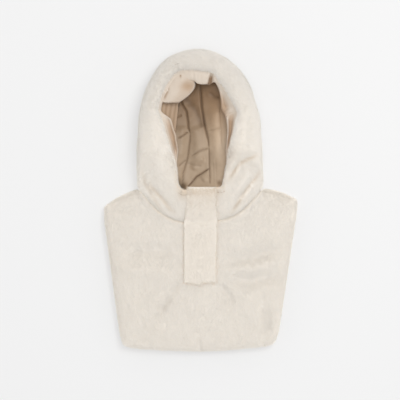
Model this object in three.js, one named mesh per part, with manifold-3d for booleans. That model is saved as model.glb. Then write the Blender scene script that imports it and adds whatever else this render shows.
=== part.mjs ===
// A pullover hood of thick cream plush with a front and a back bib, lying flat on its back.
// Millimetres. +X is the viewer's right, +Y points to the crown, +Z up from the surface it lies on.
// The origin is the middle of the whole outline, on that surface.

import * as THREE from "three";
import { mergeVertices } from "three/addons/utils/BufferGeometryUtils.js";
import Module from "manifold-3d";

const wasm = await Module();
wasm.setup();

// Cloth
const plush = 12; // thickness of the plush with its pile
const satin = 1.5; // thickness of the lining
const facingCloth = 2; // thickness of the folded facing
const gap = 0.3; // clearance between neighbouring pieces
const liningGap = 0.6; // clearance between the lining and the plush
const seamGap = 0.9; // clearance along the neck seam, where both edges are rounded

// Hood: a round bag that lies on its back and opens upwards, measured from a point in its middle
const middle = new THREE.Vector2(-4, 138);
const turns = 48; // steps round the bag
const wallSteps = 10; // steps down its wall
const bellyHeight = 40; // height at which the bag is widest
const bellyTuck = 28; // how far the bag draws in from its widest line down to the surface
const collarHeight = 36; // top of the collar front at the neck seam
const collarBelly = 20; // height of the middle of the flattened neck
const collarRound = 7; // rounding of the collar's sewn edge
const collarTuck = 5; // how far the collar draws in below its sewn edge
const lipSteps = 4; // steps round the half-round fur edge

// One row for each section round the bag, anticlockwise from +X.
// opening: radius of the fur edge. edge: its height. crest: top of the fur roll. lean: how far out
// the crest lies, as a share of the way from the fur edge to the outline. outline: largest radius.
// collar: 1 where the section ends at the neck seam, 0 where it is the round back of the bag.
const hoodSections = [
  { angle: 0, opening: 66.6, edge: 57, crest: 86, lean: 0.44, outline: 123.4, collar: 0 },
  { angle: 20, opening: 73.5, edge: 57, crest: 86, lean: 0.45, outline: 124, collar: 0 },
  { angle: 45, opening: 83, edge: 57, crest: 84, lean: 0.45, outline: 138, collar: 0 },
  { angle: 70, opening: 102, edge: 56, crest: 80, lean: 0.44, outline: 154.5, collar: 0 },
  { angle: 90, opening: 111, edge: 55, crest: 77, lean: 0.42, outline: 161.6, collar: 0 },
  { angle: 110, opening: 114, edge: 56, crest: 79, lean: 0.43, outline: 158, collar: 0 },
  { angle: 135, opening: 95, edge: 57, crest: 84, lean: 0.45, outline: 139.2, collar: 0 },
  { angle: 158, opening: 76, edge: 57, crest: 87, lean: 0.45, outline: 125.5, collar: 0 },
  { angle: 180, opening: 61.8, edge: 57, crest: 88, lean: 0.44, outline: 121.2, collar: 0 },
  { angle: 200, opening: 59.3, edge: 56, crest: 84, lean: 0.42, outline: 132, collar: 0 },
  { angle: 214, opening: 62, edge: 54, crest: 77, lean: 0.38, outline: 149, collar: 0.35 },
  { angle: 224, opening: 66.7, edge: 52, crest: 72, lean: 0.32, outline: 162.5, collar: 1 },
  { angle: 240, opening: 83, edge: 48, crest: 64, lean: 0.26, outline: 178.5, collar: 1 },
  { angle: 256, opening: 113, edge: 44, crest: 57, lean: 0.2, outline: 186.4, collar: 1 },
  { angle: 276, opening: 110.4, edge: 43, crest: 56, lean: 0.2, outline: 184.1, collar: 1 },
  { angle: 290, opening: 109, edge: 45, crest: 58, lean: 0.2, outline: 185.6, collar: 1 },
  { angle: 304, opening: 86, edge: 49, crest: 66, lean: 0.27, outline: 178.6, collar: 1 },
  { angle: 318, opening: 72.8, edge: 53, crest: 75, lean: 0.34, outline: 168.1, collar: 1 },
  { angle: 330, opening: 67.5, edge: 56, crest: 81, lean: 0.4, outline: 147, collar: 0.2 },
  { angle: 345, opening: 65.2, edge: 57, crest: 85, lean: 0.43, outline: 130.8, collar: 0 },
];

// Facing: how far the satin band shows inside the fur edge, and how far its free edge hangs down
const facingSections = [
  { angle: 0, shown: 12, drop: 13 },
  { angle: 30, shown: 13, drop: 11 },
  { angle: 47, shown: 16, drop: 10 },
  { angle: 62, shown: 10, drop: 8 },
  { angle: 84, shown: 20, drop: 9 },
  { angle: 97, shown: 25, drop: 8 },
  { angle: 107, shown: 44, drop: 5 },
  { angle: 120, shown: 47, drop: 4 },
  { angle: 134, shown: 24, drop: 8 },
  { angle: 150, shown: 20, drop: 12 },
  { angle: 180, shown: 15, drop: 14 },
  { angle: 210, shown: 10, drop: 14 },
  { angle: 230, shown: 5, drop: 10 },
  { angle: 256, shown: 3, drop: 8 },
  { angle: 285, shown: 3, drop: 8 },
  { angle: 310, shown: 4, drop: 8 },
  { angle: 340, shown: 8, drop: 12 },
];

// Panels: the seams between the middle strip and the two sides, as [x, y] seen from above. The strip
// runs from the forehead over the crown and down the back to the nape, and leaves the collar front
// to the sides.
const gussetSeams = {
  left: [[-52, -70], [-60, 60], [-60, 180], [-54, 320]],
  right: [[44, -70], [52, 60], [52, 180], [46, 320]],
};
const liningSeams = {
  left: [[-40, -70], [-38, 40], [-24, 100], [-24, 150], [-40, 190], [-44, 320]],
  right: [[30, -70], [18, 40], [12, 110], [-2, 180], [-8, 230], [-8, 320]],
};
const collarFrontFrom = { nearY: 35, nearZ: 18, farZ: 30 };
const seamRows = [-70, -10, 40, 70, 100, 125, 150, 180, 215, 250]; // where a seam's line is read, in y
const reach = { far: 400, low: -10, high: 200 }; // how far the cutting blocks reach past the hood

// Neck: the flattened way through the collar, and the slit that the placket covers
const neckPassage = { left: -104, right: 100, top: 30, bottom: -80, floor: 12.4, roof: 23.6 };
const liningNeckClear = 2; // how far the way through the lining stays inside the plush's
const slit = { x: 0, width: 1.2, bottom: -150 };
const seamSweep = { from: 212, over: 120, steps: 96 }; // the neck seam's part of the round, in degrees

// Bibs: the side edges run from the shoulder tips down to the hem
const shoulder = { left: -196, leftY: -4, leftNeckY: 27, right: 194, rightY: 10, rightNeckY: 28 };
const neckShare = 0.63; // where the neck ends, on the way from the middle to a shoulder tip
const sideEdges = { topY: -18, left: -197, right: 193.5, bottomY: -292, leftHem: -160, rightHem: 152 };
const hem = { left: -297, middle: -302, right: -293 };
const bibWidth = 375; // middle width and length, for the rounding along the edges
const bibLength = 265;
const bibRound = 7;
const cornerDraw = { by: 7, across: 10, down: 14 }; // how far corners draw in, and how sharply
const frontBibHeight = 27; // middle of the front bib's thickness
const shoulderFall = { drop: 8.6, reach: 55, besideNeck: 95, over: 50 };
const edgeFall = { drop: 2.5, reach: 60 };
const planTurns = 8; // turns that fit a point between slanting sides and curved ends

// Facing: its sewn rim runs out under the fur edge, and the band bows between rim and free edge
const facingRim = { under: 9, clear: 0.6, nearUnder: 4, nearClear: 0.5 };
const facingBow = { shown: 0.45, drop: 0.25 };

// Placket
const placketTop = { y: 29, left: -29, right: 31 };
const placketKink = { y: -43, left: -34.5, right: 33 };
const placketEnd = { y: -165, left: -34.5, right: 30.5 };
const placketThickness = 8;
const placketRound = 5;

// Height of the placket's underside along its length, over the collar, the neck seam and the bib
const placketRide = [
  { y: 32, z: 56.2 },
  { y: 20, z: 57.9 },
  { y: 8, z: 56.5 },
  { y: -8, z: 52.2 },
  { y: -22, z: 46.3 },
  { y: -34, z: 40.2 },
  { y: -46, z: 36 },
  { y: -58, z: 33.9 },
  { y: -80, z: 33.6 },
  { y: -170, z: 33.6 },
];

// Folds: each runs through its points as a rounded dent (or ridge, where depth is negative). Those of
// the hood fade in above a height, and those of the lining fade out above one.
const hoodFoldFade = { from: 30, over: 14 };
const liningFoldFade = { from: 20, over: 14 };
const hoodFolds = [
  { depth: 6, width: 12, points: [[-114, 78], [-98, 28], [-78, 8], [-50, -26]] },
  { depth: 3, width: 12, points: [[-106, 110], [-88, 78], [-82, 44]] },
  { depth: 5, width: 12, points: [[110, 90], [80, 76], [60, 56]] },
  { depth: 6, width: 12, points: [[112, 68], [96, 32], [82, 0], [58, -30]] },
  { depth: 2.5, width: 12, points: [[-52, 268], [-2, 270]] },
];
const bibFolds = [
  { depth: 4.5, width: 14, points: [[-40, -176], [-102, -240], [-114, -260]] },
  { depth: -2, width: 14, points: [[-60, -168], [-116, -232]] },
  { depth: -2, width: 14, points: [[-150, -144], [-60, -144]] },
  { depth: 2.5, width: 18, points: [[-150, -96], [-66, -96]] },
  { depth: 4, width: 14, points: [[54, -112], [98, -108], [138, -100], [168, -86]] },
  { depth: 4, width: 14, points: [[58, -156], [118, -156], [158, -140]] },
  { depth: 4, width: 13, points: [[34, -172], [62, -200]] },
  { depth: 4, width: 13, points: [[130, -200], [134, -280]] },
];
const placketFolds = [{ depth: 2.5, width: 8, points: [[2, 4], [-25, -28]] }];
const liningFolds = [
  { depth: -9, width: 9, points: [[-6, 228], [2, 180], [14, 110], [17, 56]] },
  { depth: -7, width: 9, points: [[-32, 180], [-22, 150], [-22, 110], [-34, 60]] },
  { depth: -8, width: 10, points: [[40, 208], [44, 140]] },
  { depth: -5, width: 8, points: [[18, 76], [-20, 56]] },
  { depth: -5, width: 8, points: [[-42, 122], [-24, 138]] },
  { depth: -5, width: 8, points: [[-22, 84], [14, 100]] },
];

// Colours, as sRGB
const finishes = {
  plush: { color: 0xe3dacd, roughness: 0.95, metalness: 0 },
  plushBack: { color: 0xe0d6c9, roughness: 0.95, metalness: 0 },
  plushPlacket: { color: 0xe8e0d5, roughness: 0.95, metalness: 0 },
  lining: { color: 0xb5a186, roughness: 0.5, metalness: 0 },
  facing: { color: 0xd6c9b8, roughness: 0.45, metalness: 0 },
};

// Numbers and tables

function mix(a, b, t) {
  return a + (b - a) * t;
}

function smoothStep(t) {
  const s = Math.min(Math.max(t, 0), 1);
  return s * s * (3 - 2 * s);
}

// Reads a column of a table of sections at any angle, as a smooth curve through its rows
function roundTable(rows, key, angle) {
  const turned = ((angle % 360) + 360) % 360;
  const count = rows.length;
  let i = count - 1;
  while (rows[i].angle > turned) i -= 1;
  const row = (k) => rows[(i + k + count) % count];
  const span = (k) => (row(k + 1).angle - row(k).angle + 360) % 360;
  const slope = (k) => (row(k + 1)[key] - row(k)[key]) / span(k);
  const t = (turned - row(0).angle) / span(0);
  const easy = (a, b) => (a * b <= 0 ? 0 : (2 * a * b) / (a + b));
  const start = easy(slope(-1), slope(0)) * span(0);
  const end = easy(slope(0), slope(1)) * span(0);
  const t2 = t * t;
  const t3 = t2 * t;
  return (
    row(0)[key] * (2 * t3 - 3 * t2 + 1) +
    row(1)[key] * (3 * t2 - 2 * t3) +
    start * (t3 - 2 * t2 + t) +
    end * (t3 - t2)
  );
}

// Reads x at a given y from a list of [x, y] points that rise in y
function xAlong(points, y) {
  const last = points.length - 1;
  let i = 0;
  while (i < last - 1 && points[i + 1][1] < y) i += 1;
  const [x0, y0] = points[i];
  const [x1, y1] = points[i + 1];
  return mix(x0, x1, smoothStep((y - y0) / (y1 - y0)));
}

// Reads z at a given y from a table that falls in y
function heightAlong(rows, y) {
  let i = 0;
  while (i + 2 < rows.length && rows[i + 1].y > y) i += 1;
  return mix(rows[i].z, rows[i + 1].z, (rows[i].y - y) / (rows[i].y - rows[i + 1].y));
}

function distanceToPath(points, x, y) {
  const here = new THREE.Vector3(x, y, 0);
  const nearest = new THREE.Vector3();
  let least = Infinity;
  for (let i = 0; i + 1 < points.length; i += 1) {
    const line = new THREE.Line3(
      new THREE.Vector3(...points[i], 0),
      new THREE.Vector3(...points[i + 1], 0),
    );
    line.closestPointToPoint(here, true, nearest);
    least = Math.min(least, nearest.distanceTo(here));
  }
  return least;
}

function foldDepth(folds, x, y) {
  let depth = 0;
  for (const fold of folds) {
    const distance = distanceToPath(fold.points, x, y) / fold.width;
    depth += fold.depth * Math.exp(-distance * distance);
  }
  return depth;
}

// Meshes

// Turns rows of points into triangles, joining the last row or column to the first where asked
function gridTriangles(rows, closed) {
  const corners = [];
  const triangle = (a, b, c) => {
    for (const point of [a, b, c]) corners.push(point.x, point.y, point.z);
  };
  const wide = rows[0].length;
  const rowSteps = closed.rows ? rows.length : rows.length - 1;
  const columnSteps = closed.columns ? wide : wide - 1;
  for (let j = 0; j < rowSteps; j += 1) {
    for (let i = 0; i < columnSteps; i += 1) {
      const next = (j + 1) % rows.length;
      const beside = (i + 1) % wide;
      triangle(rows[j][i], rows[next][i], rows[next][beside]);
      triangle(rows[j][i], rows[next][beside], rows[j][beside]);
    }
  }
  return corners;
}

function geometryFrom(corners) {
  const raw = new THREE.BufferGeometry();
  raw.setAttribute("position", new THREE.Float32BufferAttribute(corners, 3));
  const merged = mergeVertices(raw, 1e-3);
  const source = merged.index.array;
  const kept = [];
  for (let i = 0; i < source.length; i += 3) {
    const [a, b, c] = [source[i], source[i + 1], source[i + 2]];
    if (a !== b && b !== c && c !== a) kept.push(a, b, c);
  }
  merged.setIndex(kept);
  merged.computeVertexNormals();
  return merged;
}

function solidFrom(geometry) {
  const bare = geometry.clone();
  bare.deleteAttribute("normal");
  bare.deleteAttribute("uv");
  const merged = mergeVertices(bare, 1e-3);
  return new wasm.Manifold(
    new wasm.Mesh({
      numProp: 3,
      vertProperties: new Float32Array(merged.attributes.position.array),
      triVerts: new Uint32Array(merged.index.array),
    }),
  );
}

function geometryOf(solid) {
  const mesh = solid.getMesh();
  const geometry = new THREE.BufferGeometry();
  geometry.setAttribute("position", new THREE.BufferAttribute(mesh.vertProperties, 3));
  geometry.setIndex(new THREE.BufferAttribute(mesh.triVerts, 1));
  geometry.computeVertexNormals();
  return geometry;
}

// An upright block over an outline of [x, y] points, from one height to another
function blockOver(outline, bottom, top) {
  const shape = new THREE.Shape(outline.map(([x, y]) => new THREE.Vector2(x, y)));
  const geometry = new THREE.ExtrudeGeometry(shape, { depth: top - bottom, bevelEnabled: false });
  geometry.translate(0, 0, bottom);
  return solidFrom(geometry);
}

function boxOver(left, right, back, front, bottom, top) {
  return blockOver([[left, back], [right, back], [right, front], [left, front]], bottom, top);
}

// Hood

// The wall of the bag at one angle, as [radius, height] points from the fur edge over the roll, down
// the outside and in to the foot. inset moves the whole line in from the outer face, at each point
// along the way that the wall faces there: up, slanting or sideways, and squarer at the collar.
function wallLine(angle, inset, steps) {
  const read = (key) => roundTable(hoodSections, key, angle);
  const collar = read("collar");
  const outline = read("outline");
  const opening = read("opening");
  const crest = read("crest");
  const edge = read("edge") + plush / 2;
  const crestRadius = mix(opening, outline, read("lean"));
  const belly = mix(bellyHeight, collarBelly, collar);
  const tuck = mix(bellyTuck, collarTuck, collar);
  const arc = Math.SQRT1_2;
  const roundSide = [mix(crestRadius, outline, arc), mix(belly, crest, arc)];
  const side = [
    mix(roundSide[0], outline - collarRound, collar),
    mix(roundSide[1], collarHeight, collar),
  ];
  const sideLean = [mix(arc, 0.5, collar), mix(arc, 1, collar)];
  const foot = [outline - tuck * (1 - arc), belly * mix(1 - arc, 0.3, collar)];
  const points = [
    [opening + inset, edge],
    [mix(opening, crestRadius, 1 - arc) + inset * arc, mix(edge, crest, arc) - inset * arc],
    [crestRadius, crest - inset],
    [side[0] - inset * sideLean[0], side[1] - inset * sideLean[1]],
    [outline - inset, belly],
    [foot[0] - inset * mix(arc, 1, collar), foot[1] + inset * mix(arc, 0.6, collar)],
    [outline - tuck - inset * mix(0.4, 1, collar), inset],
  ];
  const line = new THREE.CatmullRomCurve3(
    points.map(([r, z]) => new THREE.Vector3(r, 0, z)),
    false,
    "centripetal",
  );
  return line.getPoints(steps).map((p) => [p.x, Math.max(p.z, inset)]);
}

function placeRound(angle, [radius, height]) {
  const turned = THREE.MathUtils.degToRad(angle);
  return new THREE.Vector3(
    middle.x + radius * Math.cos(turned),
    middle.y + radius * Math.sin(turned),
    height,
  );
}

// The half-round end of a wall, from its inner face under the fur edge to its outer face
function lipArc(inner, outer, steps) {
  const points = [];
  for (let k = 1; k < steps; k += 1) {
    const turned = (Math.PI * k) / steps;
    const radius = (inner[0] - outer[0]) / 2;
    points.push([
      (inner[0] + outer[0]) / 2 + radius * Math.cos(turned),
      mix(inner[1], outer[1], k / steps) - radius * Math.sin(turned),
    ]);
  }
  return points;
}

// A whole bag between two insets, with or without a half-round lip. shape moves each of its points,
// and is told which are on the outer face.
function bag({ outer, inner, floorSteps, lip, shape }) {
  const floorShares = Array.from({ length: floorSteps - 1 }, (_, k) => 1 - (k + 1) / floorSteps);
  const columns = [];
  for (let i = 0; i < turns; i += 1) {
    const angle = (360 * i) / turns;
    const outside = wallLine(angle, outer, wallSteps);
    const inside = wallLine(angle, inner, wallSteps);
    const insideFloor = floorShares.map((s) => [inside.at(-1)[0] * s, inside.at(-1)[1]]);
    const outsideFloor = floorShares.map((s) => [outside.at(-1)[0] * s, outside.at(-1)[1]]);
    const ends = lip ? lipArc(inside[0], outside[0], lipSteps) : [];
    const path = [
      [0, inner],
      ...insideFloor.toReversed(),
      ...inside.toReversed(),
      ...ends,
      ...outside,
      ...outsideFloor,
      [0, outer],
    ];
    const outsideStart = 1 + insideFloor.length + inside.length + ends.length;
    columns.push(path.map((p, k) => shape(placeRound(angle, p), k >= outsideStart)));
  }
  const rows = columns[0].map((_, k) => columns.map((column) => column[k]));
  return geometryFrom(gridTriangles(rows, { rows: false, columns: true }));
}

// Folds the outer face of the hood, above the part that lies on the surface
function dentHood(point, outside) {
  if (!outside || point.z < hoodFoldFade.from) return point;
  const fade = smoothStep((point.z - hoodFoldFade.from) / hoodFoldFade.over);
  point.z -= foldDepth(hoodFolds, point.x, point.y) * fade;
  return point;
}

// Puckers the lining where it lies on the hood's floor
function liftLining(point) {
  const floorShare = 1 - smoothStep((point.z - liningFoldFade.from) / liningFoldFade.over);
  const lift = -foldDepth(liningFolds, point.x, point.y) * floorShare;
  point.z += Math.max(lift, 0);
  return point;
}

// The side of the bag left or right of a seam, shifted by spare
function beside(seam, side, spare) {
  const { far, low, high } = reach;
  const line = [-far, ...seamRows, far].map((y) => [
    xAlong(seam, Math.min(Math.max(y, seam[0][1]), seam.at(-1)[1])) + side * spare,
    y,
  ]);
  return blockOver([...line, [side * far, far], [side * far, -far]], low, high);
}

// The room over the neck and the lower half of the opening, where the side panels meet in front
function collarFront(spare) {
  const { nearY, nearZ, farZ } = collarFrontFrom;
  const { far, high } = reach;
  return boxOver(-far, far, -far, nearY + spare, nearZ - spare, high).add(
    boxOver(-far, far, 0, middle.y + spare, farZ - spare, high),
  );
}

// Parts a bag along its two seams, and down its front at the slit
function threePanels(whole, seams) {
  const half = gap / 2;
  const front = collarFront(0);
  const slitHalf = slit.width / 2;
  const { far, low, high } = reach;
  const frontLeft = front.intersect(boxOver(-far, slit.x - slitHalf, -far, far, low, high));
  const frontRight = front.intersect(boxOver(slit.x + slitHalf, far, -far, far, low, high));
  return {
    left: whole.intersect(beside(seams.left, -1, half).add(frontLeft)),
    centre: whole
      .subtract(beside(seams.left, -1, -half))
      .subtract(beside(seams.right, 1, -half))
      .subtract(collarFront(gap)),
    right: whole.intersect(beside(seams.right, 1, half).add(frontRight)),
  };
}

const { left, right, top, bottom, floor, roof } = neckPassage;
const hoodBag = solidFrom(
  bag({ outer: 0, inner: plush, floorSteps: 2, lip: true, shape: dentHood }),
).subtract(boxOver(left, right, bottom, top, floor, roof));
const hoodPanels = threePanels(hoodBag, gussetSeams);

// Lining

const liningBag = solidFrom(
  bag({
    outer: plush + liningGap,
    inner: plush + liningGap + satin,
    floorSteps: 5,
    lip: false,
    shape: liftLining,
  }),
).subtract(
  boxOver(
    left,
    right,
    bottom,
    top,
    plush + liningNeckClear,
    collarHeight - plush - liningNeckClear,
  ),
);
const liningPanels = threePanels(liningBag, liningSeams);

// Facing: a closed ring of satin, its outer rim under the fur edge and its free edge hanging inside

function openingFacing() {
  const columns = [];
  for (let i = 0; i < turns; i += 1) {
    const angle = (360 * i) / turns;
    const opening = roundTable(hoodSections, "opening", angle);
    const edge = roundTable(hoodSections, "edge", angle);
    const shown = roundTable(facingSections, "shown", angle);
    const drop = roundTable(facingSections, "drop", angle);
    const upper = [
      [opening + facingRim.under, edge - facingRim.clear],
      [opening + facingRim.nearUnder, edge - facingRim.nearClear],
      [opening - shown * facingBow.shown, edge - drop * facingBow.drop],
      [opening - shown, edge - drop],
    ];
    const lower = upper.map(([r, z]) => [r, z - facingCloth]).toReversed();
    columns.push([...upper, ...lower].map((p) => placeRound(angle, p)));
  }
  const rows = columns[0].map((_, k) => columns.map((column) => column[k]));
  return geometryFrom(gridTriangles(rows.toReversed(), { rows: true, columns: true }));
}

// Bibs and placket

// A flat cushion: place(u, v) gives its middle surface and half(u, v) half its thickness, with
// columns from left to right and rows from the far edge to the near one
function cushion(columns, rows, place, half) {
  const layer = (sign) =>
    rows.map((v) =>
      columns.map((u) => {
        const point = place(u, v);
        point.z += sign * half(u, v);
        return point;
      }),
    );
  const upper = gridTriangles(layer(1), { rows: false, columns: false });
  const lower = gridTriangles(
    layer(-1).map((row) => row.toReversed()),
    { rows: false, columns: false },
  );
  return geometryFrom([...upper, ...lower]);
}

// Stations across a width: three close together at each end for the rounding, the rest even
function stations(length, round, between) {
  const near = [0, 0.2, 1].map((share) => (share * round) / length);
  const even = Array.from({ length: between }, (_, k) => (k + 1) / (between + 1));
  const inner = even.map((t) => mix(near.at(-1), 1 - near.at(-1), t));
  return [...near, ...inner, ...near.map((t) => 1 - t).toReversed()];
}

// Height share of a rounded edge at a distance in from it
function roundEdge(distance, round) {
  const t = Math.min(Math.max(distance / round, 0), 1);
  return Math.sqrt(1 - (1 - t) * (1 - t));
}

// The neck seam from above, as the lower boundary of the bag set out by the seam's clearance
const seamPoints = Array.from({ length: seamSweep.steps + 1 }, (_, k) => {
  const angle = seamSweep.from + (seamSweep.over * k) / seamSweep.steps;
  const point = placeRound(angle, [roundTable(hoodSections, "outline", angle) + seamGap, 0]);
  return [point.x, point.y];
});

function neckSeamY(x) {
  for (let i = 0; i + 1 < seamPoints.length; i += 1) {
    const [x0, y0] = seamPoints[i];
    const [x1, y1] = seamPoints[i + 1];
    if (x0 <= x && x <= x1) return mix(y0, y1, (x - x0) / (x1 - x0));
  }
  return Infinity;
}

function shoulderY(x) {
  const t = Math.min(Math.max(x < 0 ? x / shoulder.left : x / shoulder.right, 0), 1);
  const tipY = x < 0 ? shoulder.leftY : shoulder.rightY;
  const neckY = x < 0 ? shoulder.leftNeckY : shoulder.rightNeckY;
  return mix(neckY, tipY, (t - neckShare) / (1 - neckShare));
}

function topY(x) {
  return Math.min(shoulderY(x), neckSeamY(x));
}

function hemY(x) {
  const t = x < 0 ? x / sideEdges.leftHem : x / sideEdges.rightHem;
  return mix(hem.middle, x < 0 ? hem.left : hem.right, smoothStep(Math.abs(t)));
}

function sideX(y, side) {
  const t = (y - sideEdges.topY) / (sideEdges.bottomY - sideEdges.topY);
  return side < 0
    ? mix(sideEdges.left, sideEdges.leftHem, t)
    : mix(sideEdges.right, sideEdges.rightHem, t);
}

// A point of the bib's plan for u across and v down, with its corners drawn in
function bibPlan(u, v) {
  const across = mix(-1, 1, u);
  let x = (across * bibWidth) / 2;
  let y = 0;
  for (let turn = 0; turn < planTurns; turn += 1) {
    y = mix(topY(x), hemY(x), v);
    x = mix(sideX(y, -1), sideX(y, 1), u);
  }
  const cornerX = Math.pow(Math.abs(across), cornerDraw.across);
  const cornerY = Math.pow(Math.abs(2 * v - 1), cornerDraw.down);
  const draw = cornerX * cornerY * cornerDraw.by;
  return new THREE.Vector2(x - Math.sign(across) * draw, y + Math.sign(v - 0.5) * draw);
}

const bibColumns = (() => {
  const even = stations(bibWidth, bibRound, 0);
  const inner = [0.075, 0.13, 0.175, 0.21, 0.24, 0.28, 0.32, 0.365, 0.41, 0.455, 0.5];
  const mirrored = inner.slice(0, -1).map((t) => 1 - t).toReversed();
  return [...even.slice(0, 3), ...inner, ...mirrored, ...even.slice(3)];
})();
const frontBibRows = stations(bibLength, bibRound, 12);
const backBibRows = stations(bibLength, bibRound, 3);

function bibHalf(u, v) {
  const across = Math.min(u, 1 - u) * bibWidth;
  const down = Math.min(v, 1 - v) * bibLength;
  return (plush / 2) * roundEdge(across, bibRound) * roundEdge(down, bibRound);
}

// The front bib drapes down to the back bib at the shoulders and sinks a little to its edges
function frontBibMiddle(u, v) {
  const plan = bibPlan(u, v);
  const besideNeck = smoothStep((Math.abs(plan.x) - shoulderFall.besideNeck) / shoulderFall.over);
  const toShoulder = 1 - smoothStep((shoulderY(plan.x) - plan.y) / shoulderFall.reach);
  const fall = besideNeck * toShoulder;
  const fromEdge = Math.min(Math.min(u, 1 - u) * bibWidth, (1 - v) * bibLength);
  const sag = (1 - smoothStep(fromEdge / edgeFall.reach)) * (1 - fall);
  const height = frontBibHeight - shoulderFall.drop * fall - edgeFall.drop * sag;
  return new THREE.Vector3(plan.x, plan.y, height - foldDepth(bibFolds, plan.x, plan.y) / 2);
}

// The folds dent the pile of the upper face, and the underside stays smooth
function frontBibHalf(u, v) {
  const plan = bibPlan(u, v);
  const thinned = 1 - foldDepth(bibFolds, plan.x, plan.y) / plush;
  return bibHalf(u, v) * thinned;
}

function backBibMiddle(u, v) {
  const plan = bibPlan(u, v);
  return new THREE.Vector3(plan.x, plan.y, plush / 2);
}

// The placket lies over the collar and the bib and bridges the neck seam between them
function placketMiddle(u, v) {
  const y = mix(placketTop.y, placketEnd.y, v);
  const upper = y > placketKink.y;
  const [from, to] = upper ? [placketTop, placketKink] : [placketKink, placketEnd];
  const t = (y - from.y) / (to.y - from.y);
  const x = mix(mix(from.left, to.left, t), mix(from.right, to.right, t), u);
  const under = heightAlong(placketRide, y);
  return new THREE.Vector3(x, y, under + (placketThickness - foldDepth(placketFolds, x, y)) / 2);
}

function placketHalf(u, v) {
  const across = Math.min(u, 1 - u) * (placketTop.right - placketTop.left);
  const down = Math.min(v, 1 - v) * (placketTop.y - placketEnd.y);
  const plan = placketMiddle(u, v);
  const thickness = placketThickness - foldDepth(placketFolds, plan.x, plan.y);
  return (thickness / 2) * roundEdge(across, placketRound) * roundEdge(down, placketRound);
}

const placketColumns = stations(placketTop.right - placketTop.left, placketRound, 3);
const placketRows = stations(placketTop.y - placketEnd.y, placketRound, 13);

const slitLeft = slit.x - slit.width / 2;
const slitBlock = boxOver(slitLeft, slitLeft + slit.width, slit.bottom, middle.y, reach.low, reach.high);
const frontBib = solidFrom(
  cushion(bibColumns, frontBibRows, frontBibMiddle, frontBibHalf),
).subtract(slitBlock);

// The whole hood

const pieces = [
  { name: "hood_side_left", finish: "plush", geometry: geometryOf(hoodPanels.left) },
  { name: "hood_side_right", finish: "plush", geometry: geometryOf(hoodPanels.right) },
  { name: "hood_centre_gusset", finish: "plush", geometry: geometryOf(hoodPanels.centre) },
  { name: "lining_left", finish: "lining", geometry: geometryOf(liningPanels.left) },
  { name: "lining_centre", finish: "lining", geometry: geometryOf(liningPanels.centre) },
  { name: "lining_right", finish: "lining", geometry: geometryOf(liningPanels.right) },
  { name: "opening_facing", finish: "facing", geometry: openingFacing() },
  { name: "front_bib", finish: "plush", geometry: geometryOf(frontBib) },
  {
    name: "back_bib",
    finish: "plushBack",
    geometry: cushion(bibColumns, backBibRows, backBibMiddle, bibHalf),
  },
  {
    name: "placket",
    finish: "plushPlacket",
    geometry: cushion(placketColumns, placketRows, placketMiddle, placketHalf),
  },
];

const hood = new THREE.Group();
for (const { name, finish, geometry } of pieces) {
  const mesh = new THREE.Mesh(geometry, new THREE.MeshStandardMaterial(finishes[finish]));
  mesh.name = name;
  hood.add(mesh);
}

export default hood;
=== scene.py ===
import bpy
import numpy as np
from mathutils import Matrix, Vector
from mathutils.bvhtree import BVHTree


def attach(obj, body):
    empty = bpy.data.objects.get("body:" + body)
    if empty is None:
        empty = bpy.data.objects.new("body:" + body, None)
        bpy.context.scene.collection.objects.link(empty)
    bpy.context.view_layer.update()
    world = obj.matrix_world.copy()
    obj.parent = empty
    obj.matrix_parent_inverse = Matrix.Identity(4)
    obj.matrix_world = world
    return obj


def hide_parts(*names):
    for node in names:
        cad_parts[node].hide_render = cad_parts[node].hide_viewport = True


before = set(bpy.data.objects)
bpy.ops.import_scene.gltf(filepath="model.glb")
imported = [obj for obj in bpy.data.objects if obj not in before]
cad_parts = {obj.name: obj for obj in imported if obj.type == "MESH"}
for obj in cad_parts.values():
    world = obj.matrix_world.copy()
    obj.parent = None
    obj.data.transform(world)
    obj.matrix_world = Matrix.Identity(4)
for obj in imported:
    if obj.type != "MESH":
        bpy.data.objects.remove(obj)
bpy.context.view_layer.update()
mm = 0.001

# Shader nodes


def setSockets(node, values):
    for socket, value in values.items():
        node.inputs[socket].default_value = (*value, 1) if isinstance(value, tuple) else value


def addNode(tree, kind, values={}, **settings):
    node = tree.nodes.new("ShaderNode" + kind)
    for key, value in settings.items():
        setattr(node, key, value)
    setSockets(node, values)
    return node


def wire(tree, *links):
    # each link: a node and its output, a node and its input
    for start, output, end, socket in links:
        tree.links.new(start.outputs[output], end.inputs[socket])


# Camera, lights and floor

view = {"place": (-0.002, 0.0, 3.0), "lens": 135, "reach": 50}
lights = {
    # the strength of the pale room, from its walls to its ceiling
    "room": {"From Max": 0.7, "To Min": 1.28, "To Max": 0.475},
    "key": {"place": (1.1, 1.2, 2.7), "size": 1.1, "power": 22},
    "fill": {"place": (0.2, 0.2, 3.2), "size": 1.8, "power": 34},
}
floorLook = {"size": 12, "colour": (0.50, 0.50, 0.50), "glow": 0.374}

bpy.ops.object.select_all(action="DESELECT")
bpy.ops.object.camera_add(location=view["place"], rotation=(0, 0, 0))
camera = bpy.context.object
camera.data.lens = view["lens"]
camera.data.clip_end = view["reach"]
bpy.context.scene.camera = camera
bpy.context.scene.view_settings.view_transform = "Standard"

world = bpy.data.worlds.new("paleRoom")
bpy.context.scene.world = world
world.use_nodes = True
room = world.node_tree
sky = room.nodes["Background"]
setSockets(sky, {"Color": (1, 1, 1)})
skyPlace = addNode(room, "TexCoord")
skySplit = addNode(room, "SeparateXYZ")
skyRange = addNode(room, "MapRange", lights["room"], interpolation_type="SMOOTHSTEP")
wire(
    room,
    (skyPlace, "Generated", skySplit, 0), (skySplit, "Z", skyRange, "Value"), (skyRange, 0, sky, "Strength"),
)


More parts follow.
